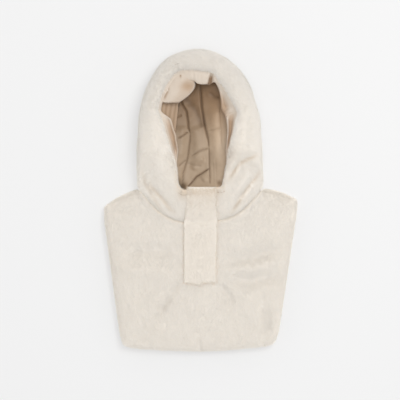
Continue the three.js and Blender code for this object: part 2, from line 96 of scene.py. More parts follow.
def addLamp(name):
    look = lights[name]
    bpy.ops.object.light_add(type="AREA", location=look["place"])
    lamp = bpy.context.object
    lamp.name = name
    lamp.data.size = look["size"]
    lamp.data.energy = look["power"]
    lamp.rotation_euler = (-Vector(look["place"])).to_track_quat("-Z", "Y").to_euler()


for lampName in ("key", "fill"):
    addLamp(lampName)

bpy.ops.mesh.primitive_plane_add(size=floorLook["size"], location=(0, 0, 0))
floor = bpy.context.object
floor.name = "floor"
print("camera, lights and floor are up")

# Points, tables and noise

noiseShape = {"table": 4096, "spread": (73856093, 19349663, 83492791)}


def readPoints(piece):
    coords = np.zeros(len(piece.data.vertices) * 3)
    piece.data.vertices.foreach_get("co", coords)
    return coords.reshape(-1, 3) / mm


def writePoints(piece, points):
    piece.data.vertices.foreach_set("co", (points * mm).ravel())
    piece.data.update()


def readNormals(piece):
    normals = np.zeros(len(piece.data.vertices) * 3)
    piece.data.vertices.foreach_get("normal", normals)
    return normals.reshape(-1, 3)


def mix(a, b, t):
    return a + (b - a) * t


def smoothStep(t):
    s = np.clip(t, 0, 1)
    return s * s * (3 - 2 * s)


def rise(value, start, span):
    # 0 up to the start and 1 past the span; fall is the same downwards
    return smoothStep((value - start) / span)


def fall(value, start, span):
    return smoothStep((start - value) / span)


def bell(distance, width):
    # 1 in the middle, next to nothing at twice the width
    return np.exp(-((distance / width) ** 2))


def spot(points, place, size):
    # the same about a place seen from above, with its own width each way
    away = (points[:, :2] - np.array(place)) / np.array(size)
    return np.exp(-(away**2).sum(axis=1))


def lengths(ways):
    return np.linalg.norm(ways, axis=1)


def unit(ways):
    return ways / np.maximum(lengths(ways), 1e-3)[:, None]


def softNoise(points, size, seed):
    # smooth noise from -1 to 1 over points, with soft lumps of one size
    table = np.random.default_rng(seed).uniform(-1, 1, noiseShape["table"])
    place = points / size
    cell = np.floor(place).astype(np.int64)
    part = place - cell
    part = part * part * (3 - 2 * part)
    total = np.zeros(len(points))
    for corner in np.ndindex(2, 2, 2):
        mixed = (cell + corner) * noiseShape["spread"]
        index = (mixed[:, 0] ^ mixed[:, 1] ^ mixed[:, 2]) % noiseShape["table"]
        total += np.prod(np.abs(1 - np.array(corner) - part), axis=1) * table[index]
    return total


def swellOver(points, swells):
    # soft lumps: size, seed and height of each layer
    return sum(softNoise(points, size, seed) * height for size, seed, height in swells)


def alongPath(points, path):
    # distance to a line through the path's points, seen from above, and the share along it
    path = np.array(path, float)
    steps = lengths(path[1:] - path[:-1])
    before = np.concatenate([[0], np.cumsum(steps)])
    least = np.full(len(points), 1e9)
    share = np.zeros(len(points))
    for i in range(len(steps)):
        way = path[i + 1] - path[i]
        t = np.clip(((points[:, :2] - path[i]) @ way) / (way @ way), 0, 1)
        distance = lengths(points[:, :2] - (path[i] + t[:, None] * way))
        nearer = distance < least
        least[nearer] = distance[nearer]
        share[nearer] = ((before[i] + t * steps[i]) / before[-1])[nearer]
    return least, share


def fold(depth, width, path, fade=0.18, openEnd=None, tan=0):
    # a dip along the path, or a swell where its depth is below 0; it fades towards the ends that aren't open;
    # its tan is painted shade in the pile along it
    return {"depth": depth, "width": width, "path": path, "fade": fade, "openEnd": openEnd, "tan": tan}


def foldDepth(points, folds):
    total = np.zeros(len(points))
    for each in folds:
        distance, share = alongPath(points, each["path"])
        ends = 1
        if each["openEnd"] != "start":
            ends = ends * smoothStep(share / each["fade"])
        if each["openEnd"] != "end":
            ends = ends * smoothStep((1 - share) / each["fade"])
        total += each["depth"] * ends * bell(distance, each["width"])
    return total


def roundTable(rows, column, angle):
    angles = [row[0] for row in rows]
    turned = angle % 360
    count = len(rows)
    i = count - 1
    while angles[i] > turned:
        i -= 1
    value = lambda k: rows[(i + k) % count][column]
    span = lambda k: (angles[(i + k + 1) % count] - angles[(i + k) % count]) % 360
    slope = lambda k: (value(k + 1) - value(k)) / span(k)
    t = ((turned - angles[i]) % 360) / span(0)
    easy = lambda a, b: 0 if a * b <= 0 else 2 * a * b / (a + b)
    start = easy(slope(-1), slope(0)) * span(0)
    end = easy(slope(0), slope(1)) * span(0)
    return (
        value(0) * (2 * t**3 - 3 * t**2 + 1)
        + value(1) * (3 * t**2 - 2 * t**3)
        + start * (t**3 - 2 * t**2 + t)
        + end * (t**3 - t**2)
    )


def curveThrough(points, steps):
    # centripetal curve through the points, read at even shares of its spans
    points = np.array(points, float)
    count = len(points)
    padded = np.vstack([2 * points[0] - points[1], points, 2 * points[-1] - points[-2]])
    found = []
    for k in range(steps + 1):
        place = (count - 1) * k / steps
        i = min(int(place), count - 2)
        t = place - i
        p = padded[i:i + 4]
        gaps = [max(np.sum((p[j + 1] - p[j]) ** 2) ** 0.25, 1e-4) for j in range(3)]
        t1 = (p[1] - p[0]) / gaps[0] - (p[2] - p[0]) / (gaps[0] + gaps[1]) + (p[2] - p[1]) / gaps[1]
        t2 = (p[2] - p[1]) / gaps[1] - (p[3] - p[1]) / (gaps[1] + gaps[2]) + (p[3] - p[2]) / gaps[2]
        t1, t2 = t1 * gaps[1], t2 * gaps[1]
        bend = (-3 * p[1] + 3 * p[2] - 2 * t1 - t2) * t**2
        found.append(p[1] + t1 * t + bend + (2 * p[1] - 2 * p[2] + t1 + t2) * t**3)
    return np.array(found)


# Meshes

mergeWithin = 0.02


def selectOnly(piece):
    bpy.ops.object.select_all(action="DESELECT")
    piece.select_set(True)
    bpy.context.view_layer.objects.active = piece


def newGrid(name, across, along):
    bpy.ops.object.select_all(action="DESELECT")
    bpy.ops.mesh.primitive_grid_add(x_subdivisions=across, y_subdivisions=along, size=1, location=(0, 0, 0))
    piece = bpy.context.object
    piece.name = name
    piece.data.name = name
    coords = readPoints(piece) * mm
    column = np.rint((coords[:, 0] + 0.5) * across).astype(int)
    row = np.rint((coords[:, 1] + 0.5) * along).astype(int)
    return piece, column, row


def editMesh(piece, step, **values):
    # runs one edit-mode step on the whole mesh
    selectOnly(piece)
    bpy.ops.object.mode_set(mode="EDIT")
    bpy.ops.mesh.select_all(action="SELECT")
    step(**values)
    bpy.ops.object.mode_set(mode="OBJECT")


def mergeDoubles(piece):
    editMesh(piece, bpy.ops.mesh.remove_doubles, threshold=mergeWithin * mm)


def turnFaces(piece, wrong):
    # turns an open sheet over where it lies wrong side up
    mergeDoubles(piece)
    if wrong(piece):
        editMesh(piece, bpy.ops.mesh.flip_normals)


def facesDown(piece):
    return readNormals(piece)[:, 2].mean() < 0


def applyModifier(piece, kind, **values):
    selectOnly(piece)
    modifier = piece.modifiers.new(kind.lower(), kind)
    for key, value in values.items():
        setattr(modifier, key, value)
    bpy.ops.object.modifier_apply(modifier=modifier.name)


def copyOfNode(nodeName, name):
    bpy.ops.object.select_all(action="DESELECT")
    piece = bpy.data.objects.new(name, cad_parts[nodeName].data.copy())
    bpy.context.scene.collection.objects.link(piece)
    piece.data.name = name
    piece.data.materials.clear()
    mergeDoubles(piece)
    return piece


def shadeSmooth(piece):
    selectOnly(piece)
    bpy.ops.object.shade_smooth()


def addAttribute(piece, name, values):
    attribute = piece.data.attributes.new(name, "FLOAT", "POINT")
    attribute.data.foreach_set("value", np.asarray(values, np.float32))


def readCover(piece):
    cover = np.zeros(len(piece.data.vertices), np.float32)
    piece.data.attributes["cover"].data.foreach_get("value", cover)
    return cover


# Materials

mottleLook = {
    "drift": {"Detail": 3},
    "tuft": {"Detail": 4, "Roughness": 0.65},
    "driftShare": 0.45,
    "tuftShare": 0.55,
    # where the pile turns darker towards the crown, in metres
    "crown": {"From Min": 0.09, "From Max": 0.26, "To Min": 1},
}
weaveLook = {
    "crease": {"Detail": 5, "Distortion": 0.8},
    "thread": {"Detail": 1},
    "threadHeight": 0.12,
    "roughness": {"To Min": 0.42, "To Max": 0.62},
}
pileLook = {
    "shader": {"Roughness": 0.85, "Specular IOR Level": 0.15},
    "cloth": {
        "Light": (0.965, 0.934, 0.885), "Dark": (0.94, 0.905, 0.85),
        "Drift Scale": 16, "Tuft Scale": 150, "Crown Shade": 0.89,
    },
    # painted shade: the blades darken towards their roots, deep in the pile
    "root": {"To Min": 0.94, "To Max": 1},
    "tan": (0.74, 0.62, 0.48),
}
backingLook = {
    "shader": {"Roughness": 0.95, "Specular IOR Level": 0.1},
    "cloth": {
        "Light": (0.92, 0.87, 0.80), "Dark": (0.88, 0.82, 0.74),
        "Drift Scale": 16, "Tuft Scale": 300, "Crown Shade": 0.89,
    },
    "bump": {"Strength": 0.5, "Distance": 0.001},
    # bare cloth at the seams, also painted shade in their gaps
    "seam": (0.80, 0.66, 0.51),
}
liningLook = {
    "shader": {"Sheen Weight": 0.15, "Specular IOR Level": 0.4},
    "cloth": {"Light": (0.75, 0.585, 0.425), "Dark": (0.63, 0.485, 0.34), "Crease Scale": 22},
    "bump": {"Strength": 0.35, "Distance": 0.002},
    # painted shade: the colour deep in the creases, and the warm colour of the hollows and the crown
    "deep": (0.13, 0.075, 0.035),
    "hollow": (0.27, 0.125, 0.035),
}
facingLook = {
    "shader": {"Sheen Weight": 0.15, "Specular IOR Level": 0.4},
    "cloth": {"Light": (0.73, 0.64, 0.545), "Dark": (0.665, 0.575, 0.48), "Crease Scale": 40},
    "bump": {"Strength": 0.25, "Distance": 0.002},
    # painted shade: the colour deep in the creases, and the warm colour of the valleys
    "deep": (0.36, 0.245, 0.155),
    "hollow": (0.53, 0.38, 0.26),
}


def newGroup(name, inputs, outputs):
    # among the inputs a tuple is a colour
    group = bpy.data.node_groups.new(name, "ShaderNodeTree")
    for socketName, value in inputs.items():
        colour = isinstance(value, tuple)
        kind = "NodeSocketColor" if colour else "NodeSocketFloat"
        socket = group.interface.new_socket(name=socketName, in_out="INPUT", socket_type=kind)
        socket.default_value = (*value, 1) if colour else value
    for socketName, kind in outputs.items():
        group.interface.new_socket(name=socketName, in_out="OUTPUT", socket_type=kind)
    return group, group.nodes.new("NodeGroupInput"), group.nodes.new("NodeGroupOutput")


def newCloth(name, scales, outputs, large, small):
    # a group in which large and small noise shade a cloth between a dark and a light colour
    tones = {"Light": (1, 1, 1), "Dark": (0.5, 0.5, 0.5)}
    group, start, end = newGroup(name, {**tones, **scales}, outputs)
    place = addNode(group, "TexCoord")
    colour = addNode(group, "Mix", data_type="RGBA")
    wire(group, (start, "Dark", colour, 6), (start, "Light", colour, 7))
    noises = [addNode(group, "TexNoise", values) for values in (large, small)]
    for noise, scale in zip(noises, scales):
        wire(group, (place, "Object", noise, "Vector"), (start, scale, noise, "Scale"))
    return group, start, end, place, colour, *noises


def makeMottleGroup(look):
    # soft patches over a cloth: large drifts with small tufts in them
    scales = {"Drift Scale": 18, "Tuft Scale": 160, "Crown Shade": 1}
    outputs = {"Color": "NodeSocketColor", "Tufts": "NodeSocketFloat"}
    made = newCloth("pileMottle", scales, outputs, look["drift"], look["tuft"])
    group, start, end, place, colour, drift, tuft = made
    part = addNode(group, "Math", {1: look["driftShare"]}, operation="MULTIPLY")
    blend = addNode(group, "Math", {1: look["tuftShare"]}, operation="MULTIPLY_ADD")
    # the pile lies a little darker towards the crown
    split = addNode(group, "SeparateXYZ")
    crown = addNode(group, "MapRange", look["crown"], interpolation_type="SMOOTHSTEP")
    shaded = addNode(group, "VectorMath", operation="SCALE")
    wire(
        group,
        (drift, "Fac", part, 0), (tuft, "Fac", blend, 0), (part, 0, blend, 2), (blend, 0, colour, "Factor"),
        (place, "Object", split, 0), (split, "Y", crown, "Value"), (start, "Crown Shade", crown, "To Max"),
        (colour, 2, shaded, 0), (crown, 0, shaded, "Scale"),
        (shaded, 0, end, "Color"), (tuft, "Fac", end, "Tufts"),
    )
    return group


def makeSatinGroup(look):
    # a fine woven ground with soft creases over it
    scales = {"Crease Scale": 26, "Thread Scale": 900}
    outputs = {"Color": "NodeSocketColor", "Roughness": "NodeSocketFloat", "Height": "NodeSocketFloat"}
    made = newCloth("satinWeave", scales, outputs, look["crease"], look["thread"])
    group, _, end, _, colour, crease, thread = made
    rough = addNode(group, "MapRange", look["roughness"])
    height = addNode(group, "Math", {1: look["threadHeight"]}, operation="MULTIPLY_ADD")
    wire(
        group,
        (crease, "Fac", colour, "Factor"), (crease, "Fac", rough, "Value"), (crease, "Fac", height, 2),
        (thread, "Fac", height, 0),
        (colour, 2, end, "Color"), (rough, 0, end, "Roughness"), (height, 0, end, "Height"),
    )
    return group


mottleGroup = makeMottleGroup(mottleLook)
satinGroup = makeSatinGroup(weaveLook)


def newMaterial(name, values):
    material = bpy.data.materials.new(name)
    material.use_nodes = True
    shader = material.node_tree.nodes["Principled BSDF"]
    setSockets(shader, values)
    return material, material.node_tree, shader


def addBump(tree, values, source, output, shader):
    bump = addNode(tree, "Bump", values)
    wire(tree, (source, output, bump, "Height"), (bump, 0, shader, "Normal"))


def mixBy(tree, name, values):
    # blends the colours of sockets 6 and 7 by an attribute of the mesh
    blend = addNode(tree, "Mix", values, data_type="RGBA")
    wire(tree, (addNode(tree, "Attribute", attribute_name=name), "Fac", blend, "Factor"))
    return blend


def makePileMaterial(name, look):
    material, tree, shader = newMaterial(name, look["shader"])
    cloth = addNode(tree, "Group", look["cloth"], node_tree=mottleGroup)
    uv = addNode(tree, "UVMap", uv_map="OFBake")
    split = addNode(tree, "SeparateXYZ")
    # painted shade: each blade darkens from tip to root, where shade falls deep in the pile
    root = addNode(tree, "MapRange", look["root"])
    # each blade's tone lies between the cream and a tan, partly at random and partly as painted shade in
    # folds and towards the chin
    tone = addNode(tree, "Mix", {6: look["tan"]}, data_type="RGBA")
    scaled = addNode(tree, "VectorMath", operation="SCALE")
    wire(
        tree,
        (uv, "UV", split, 0), (split, "Y", root, "Value"), (split, "X", tone, "Factor"),
        (cloth, "Color", tone, 7), (tone, 2, scaled, 0), (root, 0, scaled, "Scale"),
        (scaled, 0, shader, "Base Color"),
    )
    return material


def makeBackingMaterial(name, look):
    material, tree, shader = newMaterial(name, look["shader"])
    cloth = addNode(tree, "Group", look["cloth"], node_tree=mottleGroup)
    # bare cloth shows along the sewn edges; its tan is also painted shade in the seam gaps, round the chin
    # and on the strip's upper end
    colour = mixBy(tree, "seam", {7: look["seam"]})
    wire(tree, (cloth, "Color", colour, 6), (colour, 2, shader, "Base Color"))
    addBump(tree, look["bump"], cloth, "Tufts", shader)
    return material


def makeSatinMaterial(name, look):
    material, tree, shader = newMaterial(name, look["shader"])
    cloth = addNode(tree, "Group", look["cloth"], node_tree=satinGroup)
    # painted shade: the satin is darker in its creases, and warmer and darker in its hollows
    warm = mixBy(tree, "hollow", {7: look["hollow"]})
    colour = mixBy(tree, "shade", {6: look["deep"]})
    wire(
        tree,
        (cloth, "Color", warm, 6), (warm, 2, colour, 7), (colour, 2, shader, "Base Color"),
        (cloth, "Roughness", shader, "Roughness"),
    )
    addBump(tree, look["bump"], cloth, "Height", shader)
    return material


pileMaterial = makePileMaterial("plushPile", pileLook)
backingMaterial = makeBackingMaterial("plushBacking", backingLook)
liningMaterial = makeSatinMaterial("beigeSatin", liningLook)
facingMaterial = makeSatinMaterial("creamSatin", facingLook)

floorMaterial, _, _ = newMaterial(
    "paleFloor",
    {
        "Base Color": floorLook["colour"], "Roughness": 0.9, "Specular IOR Level": 0,
        "Emission Color": (1, 1, 1), "Emission Strength": floorLook["glow"],
    },
)
floor.data.materials.append(floorMaterial)
print("materials are mixed")

# Hood: a round bag of plush lying on its back, in millimetres

hoodShape = {
    "middle": (-4, 138),
    "turns": 200,
    "outerSteps": 46,
    "innerSteps": 24,
    "floorSteps": 14,
    "lipSteps": 6,
    "plush": 12,
    "pile": 3.6,
    "underside": 0.4,
    "bellyHeight": 40,
    "bellyTuck": 28,
    "collarHeight": 33,
    "collarBelly": 26,
    "collarRound": 4,
    "collarTuck": 5,
    "crestLeast": 4,
    # start and span along the wall, from the fur edge to the foot
    "foot": (0.86, 0.14),
    "sewn": (0.44, 0.14),
    "sewnShare": 0.6,
    "pileEnd": (0.9, 0.1),
    "collarPileEnd": (0.68, 0.08),
    # start and span of the height and of the normal, where the folds reach their depth
    "foldsAbove": (23, 11),
    "foldsUp": (-0.35, 0.5),
    "swells": [(60, 11, 0.8), (22, 12, 0.35)],
    # how far the fur edge stands out from the round table above, by angle
    "lipShift": [
        (0, 0.5), (14, 1), (24, 6), (36, 2), (55, 0), (67, -1), (76, 7), (84, 3), (94, 3), (108, 6),
        (120, 3), (130, 4), (146, 6), (155, 9), (163, 3), (180, 3), (222, 3), (236, 1), (243, 5),
        (249, 8.5), (256, 5), (264, 1), (280, 1), (287, 5), (292, 10), (297, 5), (310, 2), (324, 0), (340, 0),
    ],
    "lipLift": 14.5,
    "collarLift": 3,
    "leanShare": 0.75,
    # angle, radius of the fur edge, its height, crest of the roll, its lean, outline, collar share
    "sections": [
        (0, 66.6, 57, 86, 0.44, 123.4, 0),
        (20, 73.5, 57, 86, 0.45, 124, 0),
        (45, 83, 57, 84, 0.45, 138, 0),
        (70, 102, 56, 80, 0.44, 154.5, 0),
        (90, 111, 55, 77, 0.42, 161.6, 0),
        (110, 114, 56, 79, 0.43, 158, 0),
        (135, 95, 57, 84, 0.45, 139.2, 0),
        (158, 76, 57, 87, 0.45, 125.5, 0),
        (180, 61.8, 57, 88, 0.44, 121.2, 0),
        (200, 59.3, 56, 84, 0.42, 132, 0),
        (213, 61.7, 54, 77, 0.38, 146.5, 0.35),
        (224, 66.7, 52, 72, 0.32, 166, 1),
        (240, 83, 48, 64, 0.26, 178.5, 1),
        (256, 113, 44, 57, 0.2, 186.4, 1),
        (276, 110.4, 43, 56, 0.2, 184.1, 1),
        (290, 109, 45, 58, 0.2, 185.6, 1),
        (304, 86, 49, 66, 0.27, 178.6, 1),
        (318, 72.8, 53, 75, 0.34, 168.1, 1),
        (330, 67.5, 56, 81, 0.4, 147, 0.2),
        (345, 65.2, 57, 85, 0.43, 130.8, 0),
    ],
    "neckWay": {"low": (-104, -80, 12.4), "high": (100, 30, 23.6)},
    "folds": [
        fold(3.5, 4.5, [(-101, 46), (-98, 30), (-78, 8), (-61, -14), (-44, -28)], fade=0.3, tan=0.5),
        fold(2, 5, [(-116, 71), (-108, 35), (-92, 8), (-70, -27)], fade=0.35, tan=0.3),
        fold(-3, 14, [(-88, 96), (-82, 60), (-62, 24)], fade=0.4),
        fold(7, 7, [(116, 92), (104, 88), (77, 75), (59, 53), (47, 32)], fade=0.35, tan=0.7),
        fold(6, 6, [(119, 66), (106, 46), (89, 23), (75, 2), (53, -33)], fade=0.3, tan=0.6),
        fold(-4, 11, [(108, 112), (80, 98), (56, 76)], fade=0.4),
        fold(-4, 7, [(108, 66), (92, 46), (75, 24), (60, 2)], fade=0.4),
    ],
}


def hoodAt(column, angle):
    return roundTable(hoodShape["sections"], column, angle)


def readOpening(angle):
    # radius of the fur edge
    at, shift = zip(*hoodShape["lipShift"])
    return hoodAt(1, angle) + np.interp(angle % 360, at, shift, period=360)


def placeRound(angles, line):
    # turns one line of (radius, height) for each angle into points
    turned = np.radians(angles)[:, None]
    x = hoodShape["middle"][0] + line[..., 0] * np.cos(turned)
    y = hoodShape["middle"][1] + line[..., 0] * np.sin(turned)
    return np.stack([x, y, line[..., 1]], axis=-1)


turnTable = np.arange(361)
openingTable = [readOpening(turn) for turn in turnTable]
outlineTable = [hoodAt(5, turn) for turn in turnTable]


def readRound(points):
    # angle about the middle of the opening, in degrees, and distance from it
    away = points[:, :2] - np.array(hoodShape["middle"])
    return np.degrees(np.arctan2(away[:, 1], away[:, 0])) % 360, lengths(away)


def pastOpening(points):
    # angle as above, and distance outwards from the fur edge
    angle, radius = readRound(points)
    return angle, radius - np.interp(angle, turnTable, openingTable)


def wallLine(angle, inset, steps):
    # the wall from the fur edge over the roll to its foot, as (radius, height)
    shape = hoodShape
    edge, crest, lean, outline, collar = (hoodAt(column, angle) for column in range(2, 7))
    opening = readOpening(angle)
    edge += shape["plush"] / 2 + mix(shape["lipLift"], shape["collarLift"], collar)
    crest = max(crest, edge + shape["crestLeast"])
    crestRadius = mix(opening, outline, lean * shape["leanShare"])
    belly = mix(shape["bellyHeight"], shape["collarBelly"], collar)
    tuck = mix(shape["bellyTuck"], shape["collarTuck"], collar)
    arc = 0.5**0.5
    side = (
        mix(mix(crestRadius, outline, arc), outline - shape["collarRound"], collar),
        mix(mix(belly, crest, arc), shape["collarHeight"], collar),
    )
    foot = (outline - tuck * (1 - arc), belly * mix(1 - arc, 0.3, collar))
    points = [
        (opening + inset, edge),
        (mix(opening, crestRadius, 1 - arc) + inset * arc, mix(edge, crest, arc) - inset * arc),
        (crestRadius, crest - inset),
        (side[0] - inset * mix(arc, 0.5, collar), side[1] - inset * mix(arc, 1, collar)),
        (outline - inset, belly - inset * 0.5 * collar),
        (foot[0] - inset * mix(arc, 1, collar), foot[1] + inset * mix(arc, 0.6, collar)),
        (outline - tuck - inset * mix(0.4, 1, collar), inset),
    ]
    line = curveThrough(points, steps)
    line[:, 1] = np.maximum(line[:, 1], inset)
    return line


def roundAngles(turns):
    return np.arange(turns + 1) * 360 / turns


def newRound(name, turns, lines):
    # a grid of faces with one line of (radius, height) at each angle
    grid = placeRound(roundAngles(turns), np.array(lines))
    piece, column, row = newGrid(name, turns, grid.shape[1] - 1)
    return piece, grid[column, row], column, row


def floorLine(end, shares):
    # from the foot of the wall in to the middle
    return np.stack([end[0] * shares, np.full(len(shares), end[1])], axis=1)


def buildHoodShell():
    shape = hoodShape
    lines, covers = [], []
    shares = np.arange(shape["floorSteps"]) / shape["floorSteps"]
    turn = np.pi * np.arange(1, shape["lipSteps"]) / shape["lipSteps"]
    for angle in roundAngles(shape["turns"]):
        fur = wallLine(angle, shape["pile"], shape["outerSteps"])
        low = wallLine(angle, shape["underside"], shape["outerSteps"])
        collar = hoodAt(6, angle)
        along = np.linspace(0, 1, len(fur))
        sewn = rise(along, *shape["sewn"]) * collar
        outer = mix(fur, low, np.maximum(rise(along, *shape["foot"]), sewn * shape["sewnShare"])[:, None])
        inner = wallLine(angle, shape["plush"], shape["innerSteps"])
        half = (inner[0, 0] - outer[0, 0]) / 2
        lip = np.stack([inner[0, 0] - half + half * np.cos(turn), inner[0, 1] - half * np.sin(turn)], axis=1)
        inside = [floorLine(inner[-1], shares), inner[::-1]]
        lines.append(np.vstack([*inside, lip, outer, floorLine(outer[-1], shares)[::-1]]))
        covers.append(np.concatenate([
            np.zeros(len(shares) + len(inner)),
            np.linspace(0.2, 1, len(lip)),
            (1 - rise(along, *shape["pileEnd"])) * (1 - collar * rise(along, *shape["collarPileEnd"])),
            np.zeros(len(shares)),
        ]))
    piece, points, column, row = newRound("hood_shell", shape["turns"], lines)
    writePoints(piece, points)
    addAttribute(piece, "cover", np.array(covers)[column, row])
    mergeDoubles(piece)
    editMesh(piece, bpy.ops.mesh.normals_make_consistent, inside=False)
    points, normals = readPoints(piece), readNormals(piece)
    # folds only in the outer face, and none down to the way for the neck
    z = points[:, 2]
    up = rise(z, *shape["foldsAbove"]) * rise(normals[:, 2], *shape["foldsUp"])
    floorOfFold = np.minimum(z, shape["neckWay"]["high"][2] + 1)
    z[:] = np.maximum(z - foldDepth(points, shape["folds"]) * up, floorOfFold)
    points += normals * (swellOver(points, shape["swells"]) * readCover(piece))[:, None]
    writePoints(piece, points)
    return piece


def cutNeckWay(piece, spare):
    low = np.array(hoodShape["neckWay"]["low"]) - spare
    high = np.array(hoodShape["neckWay"]["high"]) + spare
    bpy.ops.object.select_all(action="DESELECT")
    bpy.ops.mesh.primitive_cube_add(size=1, location=tuple((low + high) / 2 * mm))
    cutter = bpy.context.object
    cutter.scale = tuple((high - low) * mm)
    bpy.ops.object.transform_apply(location=True, rotation=False, scale=True)
    applyModifier(piece, "BOOLEAN", operation="DIFFERENCE", object=cutter, solver="EXACT")
    bpy.data.objects.remove(cutter)


hoodShell = buildHoodShell()
print("hood shell:", len(hoodShell.data.polygons), "faces")

# Bibs and placket, from the solids they replace

panelShape = {
    "smoothing": 6,
    # start and span: where the normal turns up, and above the lowest height
    "coverUp": (-0.45, 0.4),
    "coverRise": 3,
    "sewn": (2, 9),
    "sewnShare": 0.8,
    "swells": [(70, 21, 0.7), (22, 22, 0.25)],
}
bibShape = {
    "voxel": 2.6,
    "pile": 3.6,
    "edgeFall": 2.5,
    "edgeReach": 20,
    "drape": 6,
    "drapeReach": 34,
    "seamAngles": (212, 333, 2),
    "seamBetween": (206, 336),
    "seamSlack": 0.4,
    "seamGap": 4.2,
    "seamReach": 16,
    "seamLift": 2.4,
    "corners": [(-122, 18), (122, 17.5)],
    "cornerWidth": 14,
    "cornerPull": 0.5,
    "outline": [
        (-124, 27), (-196, -4), (-197, -18), (-160, -294), (0, -302),
        (152, -293), (193, -18), (194, 10), (122, 28),
    ],
    "folds": [
        fold(4.5, 11, [(-46, -172), (-72, -206), (-94, -240)], fade=0.4, openEnd="start"),
        fold(-4, 8, [(-36, -168), (-58, -202), (-78, -236)], fade=0.45, openEnd="start"),
        fold(5, 14, [(36, -112), (70, -116), (106, -110), (146, -95), (192, -76)], fade=0.35),
        fold(-4, 13, [(36, -138), (100, -134), (186, -112)], fade=0.35),
        fold(5.5, 13, [(36, -150), (101, -158), (142, -152), (184, -130)], fade=0.35),
        fold(3.5, 6, [(42, -170), (58, -188), (62, -206)], fade=0.35, openEnd="start"),
        fold(-2.5, 13, [(70, -176), (96, -196), (104, -240)], fade=0.4),
        fold(4.5, 9, [(129, -190), (131, -236), (134, -276)], fade=0.35),
        fold(-2.5, 10, [(112, -190), (117, -270)], fade=0.35),
        fold(5, 14, [(-160, -98), (-100, -96), (-44, -104)], fade=0.3),
        fold(-4, 12, [(-180, -132), (-110, -136), (-46, -146)], fade=0.3),
        fold(3, 16, [(-150, -178), (-90, -174), (-60, -170)], fade=0.4),
        fold(2, 3.5, [(-2, -268), (-4, -284), (1, -300)], openEnd="end"),
        fold(2, 7, [(-186, -22), (-150, -14), (-120, -10)], fade=0.4),
    ],
}


def neckSeam():
    # the sewn edge of the collar, seen from above
    angles = np.arange(*bibShape["seamAngles"])
    radii = [hoodAt(5, angle) for angle in angles]
    return placeRound(angles, np.array([[(radius, 0)] for radius in radii]))[:, 0, :2]


def closeSeam(points):
    # draws the bib's edge up to the sewn line of the collar
    shape = bibShape
    angle, radius = readRound(points)
    seam = np.interp(angle, turnTable, outlineTable)
    gap = radius - seam
    slack, reach = shape["seamSlack"], shape["seamReach"]
    drawn = slack + (gap - shape["seamGap"]) * (reach - slack) / (reach - shape["seamGap"])
    near = (gap < reach) & (angle > shape["seamBetween"][0]) & (angle < shape["seamBetween"][1])
    share = np.where(near, (seam + drawn) / radius, 1)[:, None]
    points[:, 2] += np.where(near, shape["seamLift"] * (1 - smoothStep(gap / reach)), 0)
    middle = np.array(hoodShape["middle"])
    points[:, :2] = middle + (points[:, :2] - middle) * share


def buildPlushPanel(nodeName, name, look, folds, lowest):
    shape = panelShape
    piece = copyOfNode(nodeName, name)
    applyModifier(piece, "REMESH", mode="VOXEL", voxel_size=look["voxel"] * mm)
    applyModifier(piece, "SMOOTH", factor=0.5, iterations=shape["smoothing"])
    points, normals = readPoints(piece), readNormals(piece)
    cover = rise(normals[:, 2], *shape["coverUp"]) * rise(points[:, 2], lowest, shape["coverRise"])
    addAttribute(piece, "cover", cover)
    fromSeam, _ = alongPath(points, neckSeam())
    sewn = 1 - rise(fromSeam, *shape["sewn"])
    points -= normals * (look["pile"] * cover * (1 - shape["sewnShare"] * sewn))[:, None]
    points[:, 2] -= foldDepth(points, folds) * cover
    points += normals * (swellOver(points, shape["swells"]) * cover)[:, None]
    writePoints(piece, points)
    return piece


def softenBib(piece, drape):
    # the bib thins out and droops towards its free edges and is sewn close to the collar
    shape = bibShape
    points = readPoints(piece)
    fromEdge, _ = alongPath(points, shape["outline"])
    thinned = (1 - np.clip(fromEdge / shape["edgeReach"], 0, 1)) ** 2
    points[:, 2] -= shape["edgeFall"] * thinned * readCover(piece)
    points[:, 2] -= drape * (1 - np.clip(fromEdge / shape["drapeReach"], 0, 1)) ** 2
    closeSeam(points)
    for corner in shape["corners"]:
        away = np.array(corner) - points[:, :2]
        near = bell(lengths(away), shape["cornerWidth"])
        points[:, :2] += away * (shape["cornerPull"] * near)[:, None]
    writePoints(piece, points)


frontBib = buildPlushPanel("front_bib", "front_bib_cloth", bibShape, bibShape["folds"], 10)
softenBib(frontBib, bibShape["drape"])
backBib = buildPlushPanel("back_bib", "back_bib_cloth", bibShape, [], 1)
softenBib(backBib, 0)

# Placket: a strip sewn flat over the slit, which runs up over the collar and merges with it on the left

placketShape = {
    "voxel": 2,
    "pile": 3.2,
    "thick": 4.6,
    "lift": 0.4,
    "outline": [
        (-29, 30), (-34.5, -43), (-34.5, -165), (4, -170), (4.5, -165), (30.5, -166), (33, -43), (31, 30),
    ],
    "step": {"from": -34, "to": 3, "by": 4.5, "below": -150, "fade": 12},
    "crease": [(4, 8), (-10, -12), (-24, -27), (-33, -38)],
    "creaseDepth": 1.2,
    "creaseWidth": 4,
    "upperEnd": 26,
    "sink": {"by": 3.8, "past": 14, "from": -14, "fade": 16},
    "ground": {"across": (-42, 43, 3), "along": (-180, 20, 3), "bridges": 3, "above": 150},
}


def heightMap(pieces, xs, ys):
    # highest cloth below each point of a grid
    found = np.zeros((len(xs), len(ys)))
    for piece in pieces:
        faces = [tuple(face.vertices) for face in piece.data.polygons]
        tree = BVHTree.FromPolygons([tuple(point) for point in readPoints(piece)], faces)
        for i, x in enumerate(xs):
            for j, y in enumerate(ys):
                hit = tree.ray_cast(Vector((x, y, placketShape["ground"]["above"])), Vector((0, 0, -1)))
                if hit[0] is not None:
                    found[i, j] = max(found[i, j], hit[0].z)
    return found


